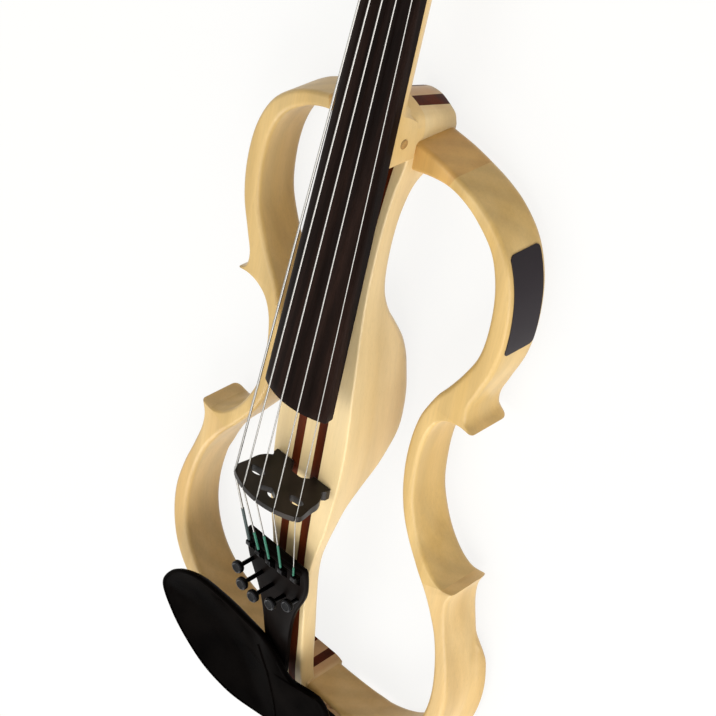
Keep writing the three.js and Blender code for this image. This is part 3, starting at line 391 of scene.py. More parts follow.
def wood(name, light, dark, grain=(1, 0.05, 1), turn=(0, 0, 0), rings=0.35, pore=0.25, roughness=0.42,
         coat=0.2, offset=0.0, streak=240, specular=0.3, ends=None):
    """Planed and varnished wood: growth rings and streaks along the grain, fine pores and a satin coat.
    End grain across the violin's length drinks more varnish and shows darker."""
    made, surface = new_finish(name, roughness, coat=coat, coat_roughness=0.28, specular=specular)
    links = made.node_tree.links
    place = part_of(made, "TexCoord")
    shift = (offset, 1.7 * offset, 0.6 * offset)
    along = part_of(made, "Mapping", Location=shift, Rotation=turn, Scale=grain)
    links.new(place.outputs["Object"], along.inputs["Vector"])
    broad = part_of(made, "TexNoise", Scale=streak * 0.22, Detail=4.0, Roughness=0.55)
    fine = part_of(made, "TexNoise", Scale=streak * 3.6, Detail=6.0, Roughness=0.6)
    growth = part_of(made, "TexWave", wave_type="BANDS", bands_direction="DIAGONAL", Scale=streak * 0.15,
                     Distortion=2.2, Detail=2.0, Detail_Scale=0.7)
    pores = part_of(made, "TexNoise", Scale=streak * 11, Detail=2.0)
    for texture in (broad, fine, growth, pores):
        links.new(along.outputs["Vector"], texture.inputs["Vector"])
    colour = ramp(made, broad.outputs["Fac"], [(0.3, dark), (0.72, light)])
    lines = ramp(made, growth.outputs["Fac"], [(0.25, (1.0,)), (0.9, (1 - rings,))])
    hairs = ramp(made, fine.outputs["Fac"], [(0.36, (1 - 0.6 * rings,)), (0.6, (1.0,))])
    dots = ramp(made, pores.outputs["Fac"], [(0.3, (1 - pore,)), (0.42, (1.0,))])
    for layer in (lines, hairs, dots):
        colour = darkened(made, colour, layer)
    if ends:
        facing = part_of(made, "SeparateXYZ")
        links.new(place.outputs["Normal"], facing.inputs[0])
        across = part_of(made, "Math", operation="ABSOLUTE")
        links.new(facing.outputs["Y"], across.inputs[0])
        colour = darkened(made, colour, ramp(made, across.outputs[0], [(0.8, (1.0,)), (0.96, ends)]))
    links.new(colour, surface.inputs["Base Color"])
    bump = part_of(made, "Bump", Strength=0.12, Distance=0.00012)
    links.new(fine.outputs["Fac"], bump.inputs["Height"])
    links.new(bump.outputs["Normal"], surface.inputs["Normal"])
    return made


core_maple = wood("core_maple", (0.85, 0.66, 0.36), (0.77, 0.56, 0.26), rings=0.06, pore=0.07,
                  ends=(0.70, 0.55, 0.48))
stripe_wood = wood("stripe_wood", (0.150, 0.028, 0.006), (0.065, 0.011, 0.003), rings=0.3, pore=0.35,
                   coat=0.0, offset=0.31, specular=0.05)
whole_core = skin("core", [core_ring(y) for y in np.linspace(CORE[0][0], CORE[-1][0], CORE_RINGS)])
heel = skin("heel", [heel_ring(lift, inset) for lift, inset in HEEL_ROWS])
tail_half_plan = [(BLOCK_HALF, TAIL_Y), *((BLOCK_HALF - x, TAIL_BLOCK_Y - y) for x, y in TAIL_BLOCK_ROUND)]
tail_block = upright("tail_block", mirrored(tail_half_plan), 0, FRAME_DEPTH)
pin_hole = bar("y", TAIL_Y - 1, TAIL_Y + PIN_HOLE_DEPTH, PIN_HOLE_R, (0, PIN_Z))
work(whole_core, "UNION", [heel, tail_block])
work(whole_core, "DIFFERENCE", [block(*PLATE_SEAT), block(*POCKET), pin_hole])
for node, x0, x1 in STRIPS:
    strip = copy_of(whole_core, node + "_carved")
    work(strip, "INTERSECT", [block((x0, *STRIP_LOW), (x1, *STRIP_HIGH))])
    smooth(made_of(strip, stripe_wood if "stripe" in node else core_maple))
    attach(strip, "violin")
    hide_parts(node)
bpy.data.objects.remove(whole_core)

# Frame: the open outline of a violin body, one rim on each side of the core. Each rim is cut from
# solid maple in three boards, a shoulder by the heel, an upper and a lower part, glued end to end
# and rounded over by hand. A lip runs round the back of the lower bouts.
FRAME_PLAN = [  # treble side, from the heel round to the tail: outer x, y and inner x, y
    (15, 195.4, 15, 180), (28, 193.6, 26.5, 182.6), (39.5, 190.8, 36, 183.2), (51, 187, 45.5, 180.8),
    (61.5, 181.5, 54.5, 175.8), (73, 170.6, 65, 166), (80.8, 153.5, 71, 151.5), (83.8, 131, 73.2, 132.5),
    (82.2, 111, 71.6, 113), (77, 94.2, 65.5, 97.8), (73.4, 82, 58.8, 85.5), (74.4, 74.6, 55, 79.5),
    (78.8, 70.8, 53.2, 76), (73.6, 71.6, 51.8, 72.8), (66.5, 70.4, 49.8, 68), (59.8, 65.8, 47.8, 62.5),
    (55.4, 57.5, 46, 54), (53.2, 44, 44.8, 42), (53.1, 30, 45, 28), (55, 13, 47, 13.5),
    (59.6, 0.4, 51, 0.4), (66, -11, 56.6, -10.6), (73.2, -19, 62.6, -19.8), (79, -23, 66.4, -25.4),
    (84, -24.2, 69.8, -29.8), (90.5, -22.6, 73, -34.2), (88.3, -29.5, 75.4, -37.8),
    (88.6, -39, 79.3, -44.6), (92.6, -54.5, 84.3, -55), (98.2, -73, 88.9, -72), (101.6, -92, 91.2, -92),
    (100.4, -112, 89.5, -110), (94.8, -130, 83.5, -125.5), (84, -144.5, 74, -137), (68, -153.2, 60.5, -145),
    (46, -158.2, 42.5, -150), (26, -160, 25.5, -151), (15, -160.4, 15, -150.6),
]
SCARF_ROW = 2
UPPER_CORNER_ROW = 12
SEAM_ROW = 24
LOWER_CORNER_ROW = 25
LAST_ROW = len(FRAME_PLAN) - 1
FRONT_OUTER = 2.4
FRONT_INNER = 3
BACK_INNER = 4.4
BACK_OUTER = 5
LIP_OUTER = 1.3
LIP_REACH = 4.25
LIP_HEIGHT = 3.4
LIP_Y = (-60, -76)
LIP_X = (50, 78)
ROWS_BETWEEN = 6
EDGE_STEPS = 7
LEAST_FLAT = 1.2


def plan_curve(first, last, column):
    """Points on the smooth outline between two rows of the plan, a fixed number to each row."""
    return curve_through([row[column:column + 2] for row in FRAME_PLAN[first:last + 1]], parts=ROWS_BETWEEN)


inner_line = plan_curve(0, LAST_ROW, 2)
outer_line = []
sharp_rows = [0, UPPER_CORNER_ROW, LOWER_CORNER_ROW, LAST_ROW]
for first, last in zip(sharp_rows, sharp_rows[1:]):
    outer_line = outer_line[:-1] + plan_curve(first, last, 0)


def ease(value, start, end):
    """0 up to the start, 1 from the end on, and a smooth rise between."""
    t = min(max((value - start) / (end - start), 0), 1)
    return t * t * (3 - 2 * t)


def rim_section(thick, lip):
    """Rounded section of the rim: distance in from the outer face, and height. lip is 0 to 1."""
    back_outer = BACK_OUTER + (LIP_OUTER - BACK_OUTER) * lip
    back_inner = min(BACK_INNER, thick - back_outer - LEAST_FLAT)
    reach = LIP_REACH * lip
    foot = max(back_outer, LIP_HEIGHT)
    front = FRAME_DEPTH - FRONT_OUTER, FRAME_DEPTH - FRONT_INNER
    outline = rounded_corner((back_outer - reach, back_outer), back_outer, -90, -180, EDGE_STEPS)
    outline += [(-reach * (1 - s) ** 2, foot + (1 + reach) * s) for s in (0.35, 0.7, 1.0)]
    outline += rounded_corner((FRONT_OUTER, front[0]), FRONT_OUTER, 180, 90, EDGE_STEPS)
    outline += rounded_corner((thick - FRONT_INNER, front[1]), FRONT_INNER, 90, 0, EDGE_STEPS)
    return outline + rounded_corner((thick - back_inner, back_inner), back_inner, 0, -90, EDGE_STEPS)


def rim_ring(k, side):
    """The rim's section at a point of its two outlines, for the bass or treble side."""
    outer, inner = outer_line[k], inner_line[k]
    thick = np.linalg.norm(inner - outer)
    inward = (inner - outer) / thick
    lip = ease(-outer[1], -LIP_Y[0], -LIP_Y[1]) * ease(outer[0], *LIP_X)
    spots = [(*(outer + inward * s), z) for s, z in rim_section(thick, lip)]
    return [(side * x, y, z) for x, y, z in spots]


SIDES = ((-1, "bass"), (1, "treble"))
RIM_BOARDS = [  # node part, from row, to row, light colour, dark colour, grain turned round Z, degrees
    ("shoulder", 0, SCARF_ROW, (0.68, 0.415, 0.13), (0.55, 0.305, 0.08), 62),
    ("upper_frame", SCARF_ROW, SEAM_ROW, (0.685, 0.475, 0.19), (0.57, 0.36, 0.105), 8),
    ("lower_frame", SEAM_ROW, LAST_ROW, (0.71, 0.50, 0.22), (0.60, 0.375, 0.125), -6),
]
for side, side_name in SIDES:
    for part, first, last, light, dark, turn in RIM_BOARDS:
        stations = range(first * ROWS_BETWEEN, last * ROWS_BETWEEN + 1)
        rim = skin(f"{side_name}_{part}_carved", [rim_ring(k, side) for k in stations])
        rim_maple = wood(f"{side_name}_{part}_maple", light, dark, turn=(0, 0, radians(side * turn)),
                         rings=0.09, pore=0.08, offset=0.2 + 0.13 * side * first)
        smooth(made_of(rim, rim_maple), 40)
        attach(rim, "violin")
        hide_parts(f"{side_name}_{part}")

# Side plate: a plain dark plate with rounded corners on the outside of the treble upper rim. It is
# a thin sheet of black laminate that is bent to the curve of the wood and glued on.
PLATE_ROWS = (5.2, 7.6)  # along the plan, in rows of the frame
PLATE_Z = (4.4, 24.2)
PLATE_PROUD = 0.45
PLATE_SUNK = 0.3
PLATE_EDGE = 0.15
PLATE_CORNER = 2.6
PLATE_MARGIN = 2
PLATE_STEPS = 48
plate_line = outer_line[int(PLATE_ROWS[0] * ROWS_BETWEEN) - 1:int(PLATE_ROWS[1] * ROWS_BETWEEN) + 2]
plate_path = curve_through(plate_line, 1.2)
run = np.concatenate([[0], np.cumsum([np.linalg.norm(b - a) for a, b in zip(plate_path, plate_path[1:])])])
plate_start, plate_end = run[0] + PLATE_MARGIN, run[-1] - PLATE_MARGIN


def on_rim(distance, out):
    """A point at a distance along the plate's line, moved out from the wood by out."""
    columns = list(zip(*plate_path))
    here, ahead, behind = (np.array([np.interp(distance + d, run, column) for column in columns])
                           for d in (0, 1, -1))
    along = ahead - behind
    along /= np.linalg.norm(along)
    return here[0] - along[1] * out, here[1] + along[0] * out


def plate_ring(distance):
    """Section of the plate, cut shorter near its ends so that its corners are round."""
    from_end = min(distance - plate_start, plate_end - distance)
    cut = PLATE_CORNER - sqrt(max(PLATE_CORNER**2 - max(PLATE_CORNER - from_end, 0) ** 2, 0))
    z0, z1 = PLATE_Z[0] + cut, PLATE_Z[1] - cut
    face = PLATE_PROUD - PLATE_EDGE
    outline = [(-PLATE_SUNK, z0), (face, z0), (PLATE_PROUD, z0 + PLATE_EDGE),
               (PLATE_PROUD, z1 - PLATE_EDGE), (face, z1), (-PLATE_SUNK, z1)]
    return [(*on_rim(distance, out), z) for out, z in outline]


corner_stops = [PLATE_CORNER * (1 - cos(radians(9 * k))) for k in range(11)]
plate_stops = [plate_start + stop for stop in corner_stops]
plate_stops += list(np.linspace(plate_start + PLATE_CORNER, plate_end - PLATE_CORNER, PLATE_STEPS))[1:-1]
plate_stops += [plate_end - stop for stop in reversed(corner_stops)]
side_plate = skin("side_plate", [plate_ring(d) for d in plate_stops])
laminate, laminate_surface = new_finish("black_laminate", 0.34, specular=0.06)
laminate_grain = part_of(laminate, "TexNoise", Scale=900.0, Detail=3.0)
laminate_tones = [(0.3, (0.020, 0.016, 0.019)), (0.7, (0.032, 0.026, 0.030))]
laminate_colour = ramp(laminate, laminate_grain.outputs["Fac"], laminate_tones)
laminate.node_tree.links.new(laminate_colour, laminate_surface.inputs["Base Color"])
smooth(made_of(side_plate, laminate), 40)
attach(side_plate, "violin")

# Fingerboard: a long board of near-black wood with a curved playing face. It is glued on the neck,
# and its free end is hollowed underneath and stands clear over the core.
STRING_LENGTH = 327
STRING_ARC = 42
BOARD_END = (54.1, 20.7, 60.5)  # y, half width, height of the face's edge
BOARD_NUT = (STRING_LENGTH, 13.8, 39.7)
BOARD_EDGE = 5
BOARD_BROW = 0.5
BOARD_WALL = 2.2
BOARD_ARRIS = 0.4
BOARD_SCOOP = [(BOARD_END[0], 3.2), (110, 3.2), (160, 2.2), (185.5, 0.4), (STRING_LENGTH, 0.2)]
BOARD_ROWS = [  # y, drawn in
    (BOARD_END[0], 0.5), (BOARD_END[0] + 0.15, 0.15), (BOARD_END[0] + 0.5, 0),
    *[(y, 0) for y in np.linspace(60, 320, 27)], (STRING_LENGTH, 0),
]


def sag(x):
    """How far the arc across the strings lies below its middle."""
    return STRING_ARC - sqrt(STRING_ARC**2 - x * x)


def board_at(y):
    """Half width and edge height of the fingerboard at a distance from the bridge."""
    share = (y - BOARD_END[0]) / (BOARD_NUT[0] - BOARD_END[0])
    return tuple(BOARD_END[k] + (BOARD_NUT[k] - BOARD_END[k]) * share for k in (1, 2))


def board_ring(y, drawn_in):
    """Section of the fingerboard: arched face, short sides and a hollow underneath."""
    half, edge = board_at(y)
    half -= drawn_in
    scoop = np.interp(y, *zip(*BOARD_SCOOP))
    crown = edge + sag(half + drawn_in) - drawn_in
    under = edge - BOARD_EDGE + drawn_in
    wall = half - BOARD_WALL
    face = [(x, crown - sag(x)) for x in np.linspace(-half + BOARD_BROW, half - BOARD_BROW, 33)]
    face = [(-half, face[0][1] - BOARD_BROW)] + face + [(half, face[-1][1] - BOARD_BROW)]
    hollow = [(x, under + scoop * (1 - (x / wall) ** 2)) for x in np.linspace(wall, -wall, 17)]
    sole = half - BOARD_ARRIS
    return [(x, y, z) for x, z in face + [(sole, under)] + hollow + [(-sole, under)]]


fingerboard = skin("fingerboard_planed", [board_ring(y, drawn_in) for y, drawn_in in BOARD_ROWS])
board_wood = wood("board_wood", (0.028, 0.014, 0.010), (0.005, 0.0025, 0.0018), rings=0.45, pore=0.35,
                  roughness=0.36, coat=0.0, streak=420, grain=(1, 0.03, 1), specular=0.02)
smooth(made_of(fingerboard, board_wood), 25)
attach(fingerboard, "violin")
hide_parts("fingerboard")

# Neck: root block, rounded shaft, pegbox and scroll, carved from one piece of maple. The root sits
# on the heel and is held by a maple dowel that shows as a round plug on its side.
ROOT_Y = 188.5
NECK_END_Y = 330
NECK_DEPTH = (14.4, 12.8)
ROOT_HALF = 16.2
ROOT_LOWER_HALF = 14.8
ROOT_LENGTH = 26
ROOT_FLARE = 0.0045
SHAFT_FROM = (205, 214.5)
SHAFT_INSET = (2.1, 1.6)  # in from the fingerboard's edge, and how much of it is gone at the nut
HEEL_RISE = [  # height, drawn in
    (JOINT_Z + 0.02, 0), (28.5, 0), (31, 0.5), (33, 1.6), (34.5, 3.4), (35.5, 6),
]
HEEL_RISE_KEPT = ((-20, ROOT_Y + 0.5, 20), (20, 230, 40))
DOWEL_PLACE = (198, 36.6)
DOWEL_R = 2.3
DOWEL_PROUD = 0.12
GLUE_GAP = 0.25
PEGS = [  # name, side, y, where its string starts across the pegbox
    ("peg_c", -1, 344, -5.3), ("peg_g", -1, 369, -3.1), ("peg_d", -1, 394, 0),
    ("peg_a", 1, 381.5, 3.1), ("peg_e", 1, 356.5, 5),
]
PEG_AXIS = (344, 29)  # y and height of the peg nearest the nut
PEG_FALL = 0.17
PEG_HEAD_R = 3.9
PEG_TIP_R = 3.3
PEG_PLAY = 0.08
PEGBOX_CLEAR = 20
PEGBOX_ROOT = [(322, 20), (322, 33.6), (332.7, 34.1)]
PEGBOX_TOP = [(333.2, 36.4), (340, 38.4), (352, 37.6), (372, 34.6), (392, 31), (401, 27.5)]
PEGBOX_BACK = [(404, 2), (394, 3.2), (378, 7), (360, 11.4), (342, 15.2), (330, 17.6)]
CHEEKS = [  # y, half width outside, half width inside
    (320, 13.6, 11.6), (338, 13.2, 10.7), (354, 12.3, 8.8), (376, 11, 7.4), (400, 9.7, 6), (406, 9.4, 5.8),
]
PEGBOX_FLOOR = [(333.6, 25), (345, 19.6), (372, 13.6), (392, 10.4), (399.5, 12.5)]
SCROLL_CENTRE = (411, 16.15)
SCROLL_R = 19.33
SCROLL_SHRINK = 0.9985  # for each degree
SCROLL_FROM, SCROLL_TO, SCROLL_STEP = -144, 648, 6  # degrees
SCROLL_HALF = 9.6
SCROLL_WIDENS = 9.4
SCROLL_SWELL = 0.85
SCROLL_CHAMFER = 0.9
SCROLL_EYE_R = 3.6
SCROLL_EYE_HALF = 20.5


def peg_z(y):
    """Height of a peg's axis in the leaning pegbox."""
    return PEG_AXIS[1] - PEG_FALL * (y - PEG_AXIS[0])


def neck_top(y):
    """Height of the neck's glued face, a hair under the fingerboard."""
    return board_at(min(y, STRING_LENGTH))[1] - BOARD_EDGE - GLUE_GAP


def root_narrowing(y):
    """How much slimmer the neck is than its flared root, on each side."""
    return ROOT_FLARE * min(y - ROOT_Y, ROOT_LENGTH) ** 2


def finer(points, parts, rounded):
    """The same line with more points, either straight between its corners or on a smooth curve."""
    given = [np.array(p, float) for p in points]
    ends = [2 * given[0] - given[1], *given, 2 * given[-1] - given[-2]]
    line = []
    for p0, p1, p2, p3 in zip(ends, ends[1:], ends[2:], ends[3:]):
        for t in (j / parts for j in range(parts)):
            bend = 0.5 * (2 * p1 + (p2 - p0) * t + (2 * p0 - 5 * p1 + 4 * p2 - p3) * t * t
                          + (3 * p1 - p0 - 3 * p2 + p3) * t**3)
            line.append(bend if rounded else p1 + (p2 - p1) * t)
    return line + [given[-1]]


def neck_ring(y):
    """Section of the neck: a root with a step on each side that is carved over into the round shaft."""
    top = neck_top(y)
    share = (y - ROOT_Y) / (STRING_LENGTH - ROOT_Y)
    depth = NECK_DEPTH[0] + (NECK_DEPTH[1] - NECK_DEPTH[0]) * share
    half = board_at(y)[0] - (SHAFT_INSET[0] - SHAFT_INSET[1] * share)
    upper, lower = ROOT_HALF - root_narrowing(y), ROOT_LOWER_HALF - 1.5 * root_narrowing(y)
    root = [(upper, top), (upper, FRAME_DEPTH + 1.6), (lower, FRAME_DEPTH + 0.4), (lower, JOINT_Z + 2),
            (lower - 2, JOINT_Z), (0, JOINT_Z)]
    shaft = [(wide * half, top - deep * depth) for wide, deep in
             ((1, 0), (0.98, 0.2), (0.87, 0.48), (0.67, 0.74), (0.37, 0.94), (0, 1))]
    carved = ease(y, *SHAFT_FROM)
    right = [a + (b - a) * carved for a, b in zip(finer(root, 4, False), finer(shaft, 4, True))]
    return [(x, y, z) for x, z in mirrored(right)]


def side_block(outline, half):
    """A board with this outline in side view, y and z, of a half width."""
    return skin("side_block", [[(x, y, z) for y, z in outline] for x in (-half, half)])


def cheek_plan(column):
    """The pegbox's outer or inner plan as a tall solid, to keep what lies in it."""
    right = [(eased(CHEEKS, y, column), y) for y in np.linspace(CHEEKS[0][0], CHEEKS[-1][0], 24)]
    return upright("cheeks", mirrored(right), -20, 60)


def scroll_section(turn):
    """Slice of the volute at an angle: wider towards the eye."""
    radius = SCROLL_R * SCROLL_SHRINK ** (turn + 90)
    half = SCROLL_HALF + SCROLL_WIDENS * ((turn - SCROLL_FROM) / (SCROLL_TO - SCROLL_FROM)) ** SCROLL_SWELL
    a = radians(turn)
    inside, rim, crest = ((SCROLL_CENTRE[0] + r * cos(a), SCROLL_CENTRE[1] + r * sin(a))
                          for r in (-0.12 * radius, radius - SCROLL_CHAMFER, radius))
    flat = half - SCROLL_CHAMFER
    return [(-half, *inside), (-half, *rim), (-flat, *crest), (flat, *crest), (half, *rim), (half, *inside)]


pegbox_outline = PEGBOX_ROOT + curve_through(PEGBOX_TOP, 2) + [(404, 20)] + curve_through(PEGBOX_BACK, 2)
pegbox = work(side_block(pegbox_outline, PEGBOX_CLEAR), "INTERSECT", [cheek_plan(1)])
space_outline = curve_through(PEGBOX_FLOOR, 2) + [(399.5, 60), (333.6, 60)]
pegbox_space = work(side_block(space_outline, PEGBOX_CLEAR), "INTERSECT", [cheek_plan(2)])
neck_steps = [*np.linspace(ROOT_Y, 218, 25), *np.linspace(224, NECK_END_Y, 22)]
neck = skin("neck_carved", [neck_ring(y) for y in neck_steps])
heel_rise = skin("heel_rise", [heel_ring(lift, inset) for lift, inset in HEEL_RISE])
work(heel_rise, "INTERSECT", [block(*HEEL_RISE_KEPT)])
work(neck, "UNION", [pegbox, heel_rise])
bores = [bar("x", -20, 20, DOWEL_R + 0.06, DOWEL_PLACE)]
for _, side, y, _ in PEGS:
    for radius, ends in ((PEG_HEAD_R, (0, side * 25)), (PEG_TIP_R, (-side * 25, 0))):
        bores.append(bar("x", *sorted(ends), radius + PEG_PLAY, (y, peg_z(y))))
work(neck, "DIFFERENCE", [pegbox_space, *bores])
scroll = skin("scroll_carved", [scroll_section(a) for a in range(SCROLL_FROM, SCROLL_TO + 1, SCROLL_STEP)])
scroll_eye = soft_edges(bar("x", -SCROLL_EYE_HALF, SCROLL_EYE_HALF, SCROLL_EYE_R, SCROLL_CENTRE), 0.8)
scroll_eye.name = "scroll_eye"
neck_maple = wood("neck_maple", (0.76, 0.54, 0.24), (0.67, 0.45, 0.17), rings=0.05, pore=0.07, offset=0.77)
for carved in (neck, scroll, scroll_eye):
    smooth(made_of(carved, neck_maple), 30)
    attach(carved, "violin")
    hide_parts("neck")

dowel_half = ROOT_HALF - root_narrowing(DOWEL_PLACE[0]) + DOWEL_PROUD
dowel = soft_edges(bar("x", -dowel_half, dowel_half, DOWEL_R, DOWEL_PLACE), 0.2)
dowel.name = "dowel_plug"
dowel_maple = wood("dowel_maple", (0.52, 0.31, 0.10), (0.36, 0.19, 0.06), grain=(0.05, 1, 1), rings=0.3,
                   pore=0.3, streak=500)
smooth(made_of(dowel, dowel_maple))
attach(dowel, "violin")
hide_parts("neck_dowel")

# Nut: a slip of near-black wood across the end of the fingerboard, with a rounded top and a notch
# for each string.
NUT_SPREAD = 22.4
NUT_STRING_Z = 43
NUT_HALF = 13.3
NUT_THICK = 5
NUT_OVER = 0.9
NUT_ROWS = [(0.2, 0.35), (0.9, 0), (NUT_THICK - 1.8, 0.25), (NUT_THICK - 0.6, 0.9), (NUT_THICK, 1.8)]
STRING_RADII = [0.6, 0.45, 0.4, 0.35, 0.26]
GROOVE_PLAY = 0.12
GROOVE_TALL = 9


def five_across(spread):
    """Where the five strings lie across a width."""
    return [(i / 4 - 0.5) * spread for i in range(5)]


def nut_string_z(x):
    """Height of a string on the nut."""
    return NUT_STRING_Z - sag(x)


def groove(x, z, start, end, radius):
    """A round-bottomed notch along Y for a string of this radius."""
    r = radius + GROOVE_PLAY
    low = [(x + r * cos(a), z + r * sin(a)) for a in np.linspace(pi, 2 * pi, 9)]
    outline = low + [(x + r, z + GROOVE_TALL), (x - r, z + GROOVE_TALL)]
    return skin("groove", [[(px, y, pz) for px, pz in outline] for y in (start, end)])


def nut_ring(y, lowered):
    """Section of the nut across the strings, with its crown lowered towards its two faces."""
    crown = [(x, nut_string_z(x) + NUT_OVER - lowered) for x in np.linspace(-NUT_HALF, NUT_HALF, 21)]
    foot = neck_top(STRING_LENGTH) + GLUE_GAP
    return [(x, y, z) for x, z in crown + [(NUT_HALF, foot), (-NUT_HALF, foot)]]


nut_points = five_across(NUT_SPREAD)
nut = skin("nut_filed", [nut_ring(STRING_LENGTH + along, lowered) for along, lowered in NUT_ROWS])
work(nut, "DIFFERENCE", [groove(x, nut_string_z(x), STRING_LENGTH - 2, STRING_LENGTH + 9, r)
                         for x, r in zip(nut_points, STRING_RADII)])
smooth(soft_edges(made_of(nut, board_wood), 0.2, 2))
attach(nut, "violin")
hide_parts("nut")

# Pegs: turned and tapered shafts of near-black wood with a double collar, a flat thumb piece that is
# hollowed on both faces, and a small turned pin at its end.
PEG_COLLAR = 14.6
PEG_PROFILE = [  # radius, distance out from the middle of the pegbox
    (0, -16), (2.6, -15.9), (3.2, -15.4), (PEG_TIP_R, -14.8), (PEG_TIP_R, -4), (PEG_HEAD_R, -3.2),
    (PEG_HEAD_R, PEG_COLLAR), (5.2, PEG_COLLAR + 0.3), (5.6, PEG_COLLAR + 0.9), (5.3, PEG_COLLAR + 1.5),
    (4.7, PEG_COLLAR + 1.8), (5.3, PEG_COLLAR + 2.2), (5.2, PEG_COLLAR + 2.9), (4.1, PEG_COLLAR + 3.7),
    (3.2, PEG_COLLAR + 5), (3.4, PEG_COLLAR + 8), (0, PEG_COLLAR + 8.6),
]
PEG_PIN = [  # radius, distance out from the collar
    (0, 23), (1.3, 23.2), (1.2, 24.4), (1.9, 25), (2, 25.8), (1.4, 26.7), (0, 26.95),
]
THUMB = [  # distance out from the collar, half width, half thickness at the rim, share hollowed away
    (3.9, 2, 1.5, 0), (4.6, 4.6, 2.6, 0), (6, 7.2, 3.4, 0.12), (8.5, 9.4, 3.8, 0.3), (11.5, 10.9, 3.9, 0.4),
    (14.2, 11.2, 3.8, 0.44), (17.5, 10.6, 3.6, 0.4), (20.4, 9, 3.2, 0.3), (22.8, 6.2, 2.6, 0.12),
    (24.4, 2.2, 1.6, 0),
]
LEAST_R = 0.02


def turned(name, profile, sides=40):
    """A turned piece on the Z axis through the bridge's middle point: rows of radius and height."""
    rows = [(max(r, LEAST_R), h) for r, h in profile]
    return skin(name, [[(r * cos(t), r * sin(t), h) for t in around(sides)] for r, h in rows])


def lay(piece, place, turn=Matrix.Identity(4)):
    """Turns a piece that was made round the zero point and moves it to its place in millimetres."""
    zero = spot(0, 0, 0)
    piece.data.transform(Matrix.Translation(spot(*place)) @ turn @ Matrix.Translation(-zero))
    return piece


def thumb_ring(out):
    """Section of the thumb piece: an oval that is hollowed on both faces."""
    half, thick, hollow = (eased(THUMB, out, column) for column in (1, 2, 3))
    ring = []
    for a in around(36):
        dish = 1 - hollow * (1 - abs(cos(a)) ** 3)
        ring.append((thick * sin(a) * dish, half * cos(a), PEG_COLLAR + out))
    return ring


def join(piece, *others):
    """Puts other meshes into one piece's mesh."""
    whole = bmesh.new()
    for part in (piece, *others):
        whole.from_mesh(part.data)
    whole.to_mesh(piece.data)
    whole.free()
    for part in others:
        bpy.data.objects.remove(part)
    return piece


peg_wood = wood("peg_wood", (0.032, 0.022, 0.018), (0.012, 0.008, 0.007), rings=0.25, pore=0.25,
                roughness=0.3, grain=(0.05, 1, 1), streak=420, coat=0.0, specular=0.12)
for peg_name, side, y, _ in PEGS:
    thumb = skin("thumb", [thumb_ring(out) for out in np.linspace(THUMB[0][0], THUMB[-1][0], 24)])
    pin = turned("pin", [(r, PEG_COLLAR + out) for r, out in PEG_PIN], 24)
    peg = work(turned(peg_name + "_turned", PEG_PROFILE), "UNION", [thumb, pin])
    lay(peg, (0, y, peg_z(y)), Matrix.Rotation(side * pi / 2, 4, "Y"))
    smooth(made_of(peg, peg_wood), 35)
    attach(peg, peg_name + "_body")
    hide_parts(peg_name)

# Bridge: a black moulded pickup bridge on two thin piezo plates. It has the shape of a violin
# bridge, thicker at the feet, with two kidney windows and a heart between them.
BRIDGE_SPREAD = 42.8
BRIDGE_STRING_Z = 76.3
BRIDGE_FOOT_Z = 44.6
BRIDGE_THICK = (6, 2.7)
BRIDGE_TAPER = 32
BRIDGE_CROWN = 77.1
BRIDGE_CROWN_HALF = 20.5
BRIDGE_SIDE = [(21.5, 71.4), (22.9, 69.2), (21.9, 61), (21.2, 55), (18.9, 51), (17.2, 49.2), (18.6, 47.2)]
BRIDGE_FOOT = [(18.6, BRIDGE_FOOT_Z), (7, BRIDGE_FOOT_Z)]
BRIDGE_ARCH = [(6.9, 45.6), (6.6, 47), (3.6, 49.8), (0, 50.2)]
KIDNEY_PLACE = (13.6, 63.4)
KIDNEY_SIZE = (4.4, 2.4)
KIDNEY_BEND = 0.25
HEART = [(0, 66), (3.4, 67.8), (5.5, 69.4), (5.3, 70.7), (3.9, 71.2), (1.8, 70.7), (0, 69.4)]
CUT_MARGIN = 4


def bridge_string_z(x):
    """Height of a string on the bridge."""
    return BRIDGE_STRING_Z - sag(x)


def bridge_slab(name, outline, grow=0.0):
    """The outline as a board that gets thinner from the bridge's feet to its crown."""
    feet, crown = BRIDGE_THICK
    thick = [feet + (crown - feet) * (z - BRIDGE_FOOT_Z) / BRIDGE_TAPER + grow for _, z in outline]
    return skin(name, [[(x, face * t, z) for (x, z), t in zip(outline, thick)] for face in (-0.5, 0.5)])


def kidney(side):
    """Outline of a kidney window, on the bass or treble side."""
    return [(side * KIDNEY_PLACE[0] + KIDNEY_SIZE[0] * cos(t),
             KIDNEY_PLACE[1] + KIDNEY_SIZE[1] * (sin(t) - KIDNEY_BEND * cos(t) ** 2)) for t in around(32)]


bridge_points = five_across(BRIDGE_SPREAD)
bridge_half = [(x, BRIDGE_CROWN - sag(x)) for x in np.linspace(0, BRIDGE_CROWN_HALF, 15)]
bridge_half += curve_through(BRIDGE_SIDE, 0.8) + BRIDGE_FOOT + curve_through(BRIDGE_ARCH, 0.7)
bridge = bridge_slab("bridge_moulded", mirrored(bridge_half))
windows = [bridge_slab("kidney", kidney(side), CUT_MARGIN) for side in (-1, 1)]
windows.append(bridge_slab("heart", mirrored(curve_through(HEART, 0.6)), CUT_MARGIN))
grooves = [groove(x, bridge_string_z(x), -9, 9, r) for x, r in zip(bridge_points, STRING_RADII)]
work(bridge, "DIFFERENCE", windows + grooves)


def vary_roughness(made, surface, texture, low, high):
    """Lets a noise texture make the surface a little duller in places."""
    worn = part_of(made, "MapRange", From_Min=0.3, From_Max=0.7, To_Min=low, To_Max=high)
    made.node_tree.links.new(texture.outputs["Fac"], worn.inputs["Value"])
    made.node_tree.links.new(worn.outputs["Result"], surface.inputs["Roughness"])


